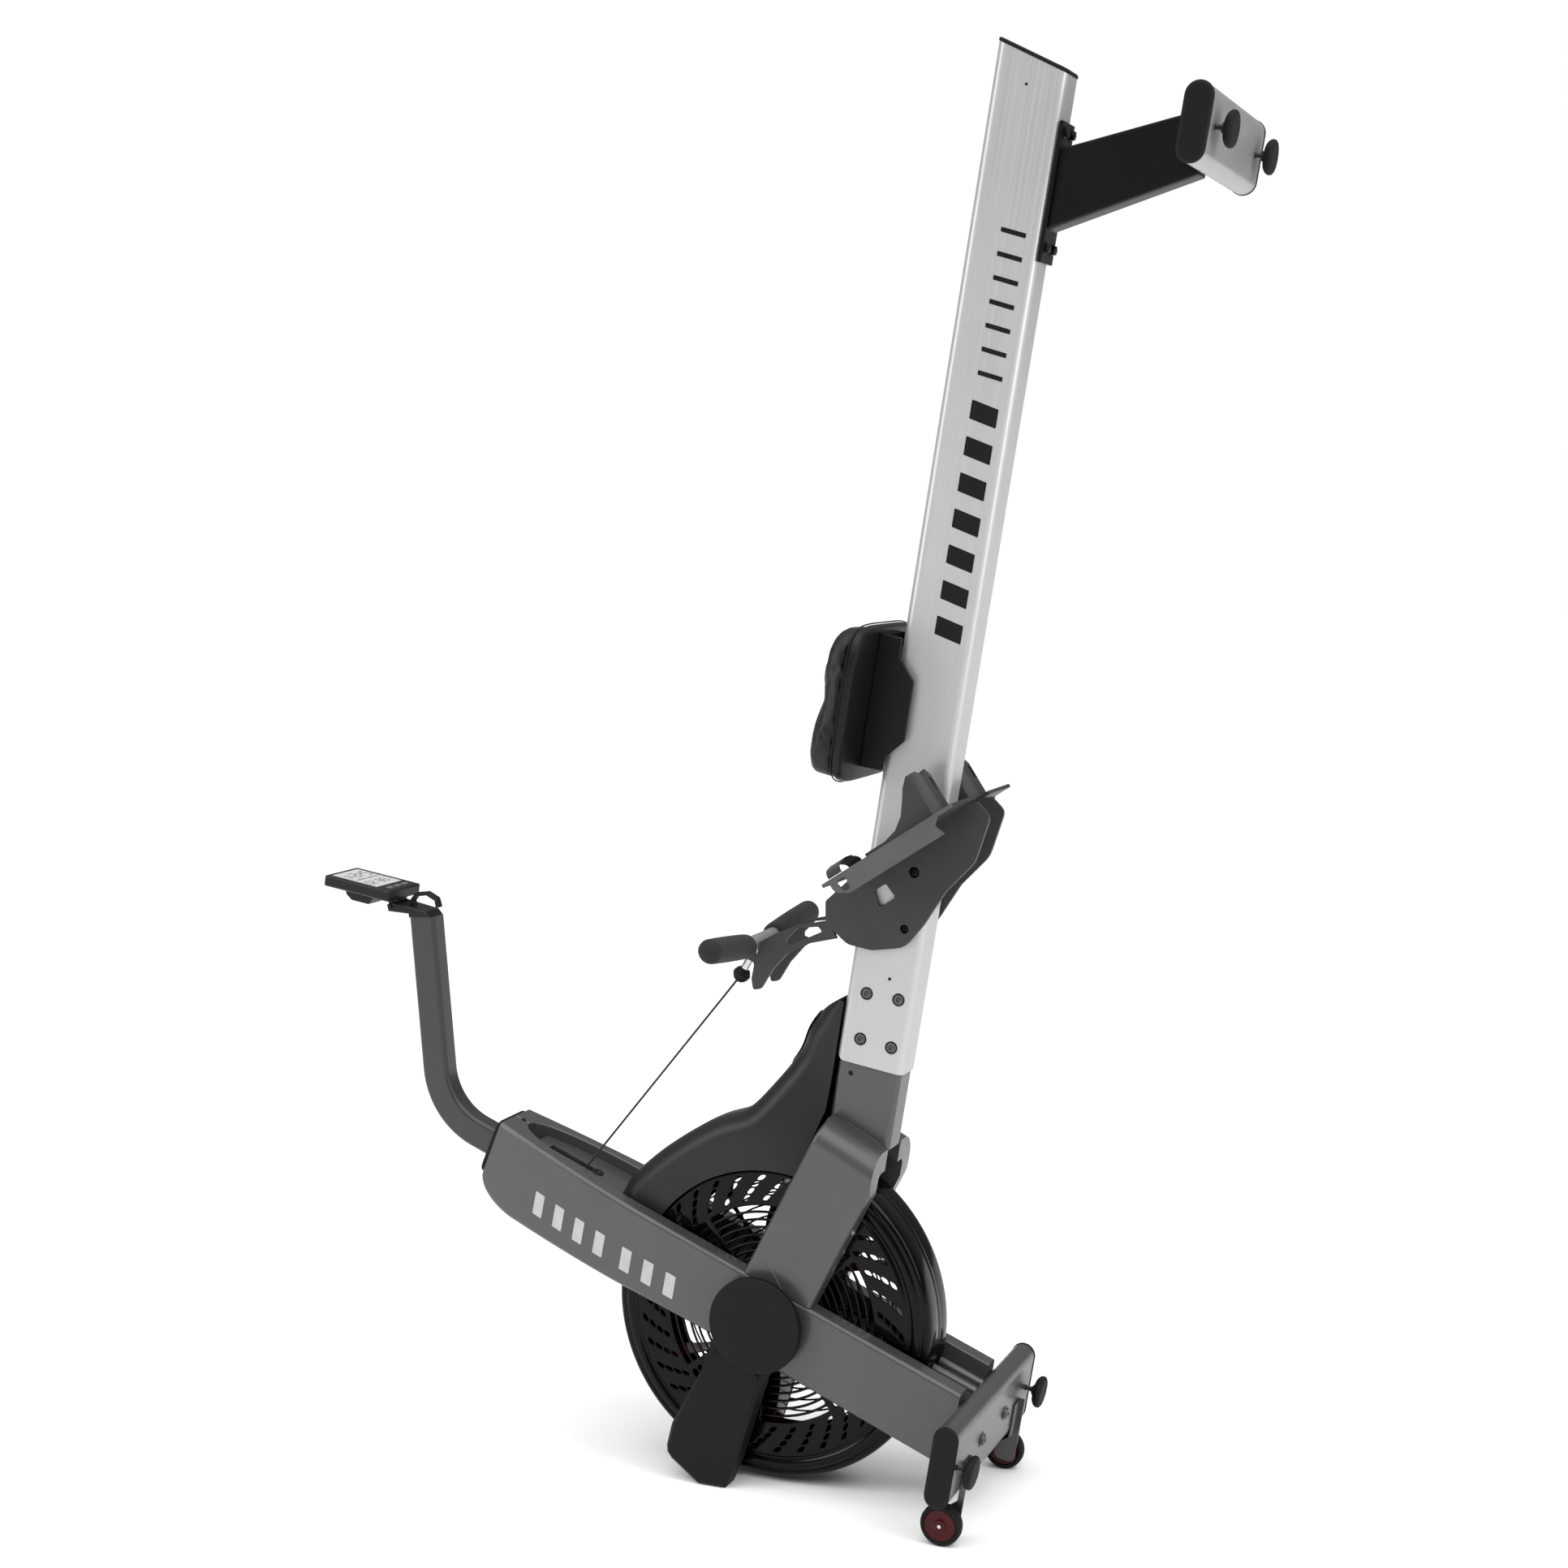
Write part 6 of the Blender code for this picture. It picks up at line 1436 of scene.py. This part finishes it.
def seat_ring(grow, z, dip=0.0, count=64):
    """Plan outline of the seat at one height, hollowed for the sitter by dip."""
    middle = (SEAT_LOW.x + SEAT_HIGH.x) / 2
    half_x = (SEAT_HIGH.x - SEAT_LOW.x) / 2 + grow
    half_y = SEAT_HIGH.y + grow
    ring = []
    for step in range(count):
        angle = 2 * math.pi * step / count
        c, s = math.cos(angle), math.sin(angle)
        px = math.copysign(abs(c) ** 0.42, c) * half_x
        py = math.copysign(abs(s) ** 0.38, s) * half_y
        sag = dip * (abs(py) / SEAT_HIGH.y) ** 2 + (0.012 * max(0.0, -px / half_x) if dip else 0.0)
        ring.append((middle + px, py, z + sag))
    return ring


def swell(obj, pressure=4.0, cap=PAD_CAP):
    """Puff a pad up as its filling would, then hold every point within the cap of where it was."""
    before = [vert.co.copy() for vert in obj.data.vertices]
    cloth = obj.modifiers.new("filling", "CLOTH")
    cloth.settings.use_pressure = True
    cloth.settings.uniform_pressure_force = pressure
    cloth.settings.effector_weights.gravity = 0.0
    cloth.settings.tension_stiffness = 40.0
    cloth.settings.compression_stiffness = 40.0
    cloth.settings.bending_stiffness = 5.0
    for step in range(1, 21):
        bpy.context.scene.frame_set(step)
    puffed = shaped_mesh(obj)
    moved = [vert.co.copy() for vert in puffed.vertices]
    obj.modifiers.remove(cloth)
    for vert, start, end in zip(obj.data.vertices, before, moved):
        step = end - start
        vert.co = start + step * min(1.0, cap / max(step.length, 1e-9))
    bpy.data.meshes.remove(puffed)
    bpy.context.scene.frame_set(1)


def build_seat():
    """Contoured foam pad with piping round its foot, on its moulded tray."""
    z0 = SEAT_LOW.z
    top = SEAT_HIGH.z - 0.012
    tray = loft([seat_ring(-0.010, z0), seat_ring(-0.004, z0 + 0.002), seat_ring(-0.002, z0 + 0.006),
                 seat_ring(-0.002, z0 + TRAY_DEEP - 0.002), seat_ring(-0.004, z0 + TRAY_DEEP)])
    place_flat("seat_tray", tray, CASE_BLACK, "seat", "black_plastic")
    inset = PAD_CAP * 0.55
    rings = [seat_ring(-0.012, z0 + TRAY_DEEP + 0.0006), seat_ring(-inset - 0.001, z0 + TRAY_DEEP + 0.004),
             seat_ring(-inset, z0 + 0.026), seat_ring(-inset - 0.002, top - 0.014, 0.002),
             seat_ring(-0.014, top - 0.007, 0.004), seat_ring(-0.030, top - 0.005, 0.003),
             seat_ring(-0.060, top - 0.007, 0.002), seat_ring(-0.100, top - 0.009, 0.0015)]
    pad = place_piece("seat_cushion", loft(rings), SEAT_FOAM, "seat", "seat_foam", ("seat_pad",), 180.0)
    remesh = pad.modifiers.new("even_mesh", "REMESH")
    remesh.mode = "VOXEL"
    remesh.voxel_size = 0.005
    bpy.context.view_layer.update()
    even = shaped_mesh(pad)
    pad.modifiers.remove(remesh)
    pad.data = even
    swell(pad)
    middle = (SEAT_LOW.x + SEAT_HIGH.x) / 2
    for vert in pad.data.vertices:
        spot = TO_MACHINE @ vert.co
        lift = max(0.0, min(1.0, (spot.z - z0 - 0.020) / 0.012))
        groove = math.exp(-((abs(spot.x - middle) - 0.045) / 0.012) ** 2) * math.exp(-(spot.y / 0.055) ** 2)
        spot.z = max(spot.z - 0.0025 * lift * groove, z0 + TRAY_DEEP + 0.0004)
        vert.co = TO_WORLD @ spot
    pad.data.shade_smooth()
    smooth = pad.modifiers.new("soft_skin", "SUBSURF")
    smooth.levels = 1
    smooth.render_levels = 1
    ring = seat_ring(-0.0005, z0 + TRAY_DEEP + 0.0005, 0.0, 96)
    seam = [rod(0.0012, begin, end, 6) for begin, end in zip(ring, ring[1:] + ring[:1])]
    place_piece("seat_piping", join(seam), CASE_BLACK, "seat", "seat_foam")


build_seat()
soften("seat_carriage", CASE_BLACK, "black_plastic", 0.0012, 3)
for roller in ("seat_roller_front", "seat_roller_rear"):
    soften(roller, STEEL, "steel", 0.0004)

# ---------------------------------------------------------------- floor, light and camera


def build_stage():
    mat, tree, shader, coords = start_material("studio_floor")
    surface = add(tree, "ShaderNodeGroup", {"Vector": coords, "Mottle Scale": 0.4, "Grain Scale": 30.0,
                                            "Grain Depth": 0.0, "Scuffs": 0.0}, node_tree=SURFACE)
    tree.links.new(mix_colours(tree, surface.outputs["Mottle"], (0.93, 0.93, 0.92, 1.0),
                               (0.95, 0.95, 0.94, 1.0)),
                   shader.inputs["Base Color"])
    shader.inputs["Roughness"].default_value = 0.9
    shader.inputs["Specular IOR Level"].default_value = 0.1
    bm = bmesh.new()
    bmesh.ops.create_grid(bm, x_segments=4, y_segments=4, size=40.0)
    mesh = bpy.data.meshes.new("studio_floor")
    bm.to_mesh(mesh)
    bm.free()
    mesh.materials.append(mat)
    floor = link_new("studio_floor", mesh)


def build_world():
    """White to the eye; the light it gives is softer, bright above and dim towards the floor."""
    world = bpy.data.worlds.new("studio")
    world.use_nodes = True
    tree = world.node_tree
    tree.nodes.clear()
    coords = add(tree, "ShaderNodeTexCoord").outputs["Generated"]
    height = add(tree, "ShaderNodeSeparateXYZ", {"Vector": coords}).outputs["Z"]
    glow = add(tree, "ShaderNodeMapRange", {"Value": height, "From Min": -0.2, "From Max": 0.9,
                                            "To Min": 0.10, "To Max": 0.52})
    light = add(tree, "ShaderNodeBackground", {"Color": (1.0, 1.0, 1.0, 1.0),
                                               "Strength": glow.outputs["Result"]})
    seen = add(tree, "ShaderNodeBackground", {"Color": (1.0, 1.0, 1.0, 1.0), "Strength": 1.0})
    path = add(tree, "ShaderNodeLightPath")
    both = add(tree, "ShaderNodeMixShader", {0: path.outputs["Is Camera Ray"], 1: light.outputs["Background"],
                                             2: seen.outputs["Background"]})
    add(tree, "ShaderNodeOutputWorld", {"Surface": both.outputs["Shader"]})
    bpy.context.scene.world = world


def aim(obj, place, target):
    obj.location = place
    obj.rotation_euler = (Vector(target) - Vector(place)).to_track_quat("-Z", "Y").to_euler()


def soft_sun(name, place, strength, spread):
    lamp = bpy.data.lights.new(name, "SUN")
    lamp.energy = strength
    lamp.angle = math.radians(spread)
    obj = link_new(name, lamp)
    aim(obj, place, (0, 0, 0))


def soft_box(name, place, target, width, height, power):
    lamp = bpy.data.lights.new(name, "AREA")
    lamp.shape = "RECTANGLE"
    lamp.size = width
    lamp.size_y = height
    lamp.energy = power
    obj = link_new(name, lamp)
    aim(obj, place, target)


def build_camera():
    lens = bpy.data.cameras.new("view")
    lens.lens = 53.56
    lens.sensor_width = 36.0
    camera = link_new("view", lens)
    place = HUB + Vector((1.5148, -3.5785, 1.3385))
    aim(camera, place, place + Vector((-0.3863, 0.9156, -0.1118)))
    bpy.context.scene.camera = camera


build_stage()
build_world()
soft_sun("overhead", (0.5, -0.9, 3.0), 2.6, 80.0)
soft_box("tall_left", (-2.6, -2.2, 2.4), (0.0, 0.0, 1.0), 1.2, 3.2, 60.0)
soft_box("tall_right", (3.0, -0.8, 2.2), (0.2, 0.0, 1.0), 1.0, 3.0, 45.0)
build_camera()
bpy.context.scene.view_settings.view_transform = "Standard"
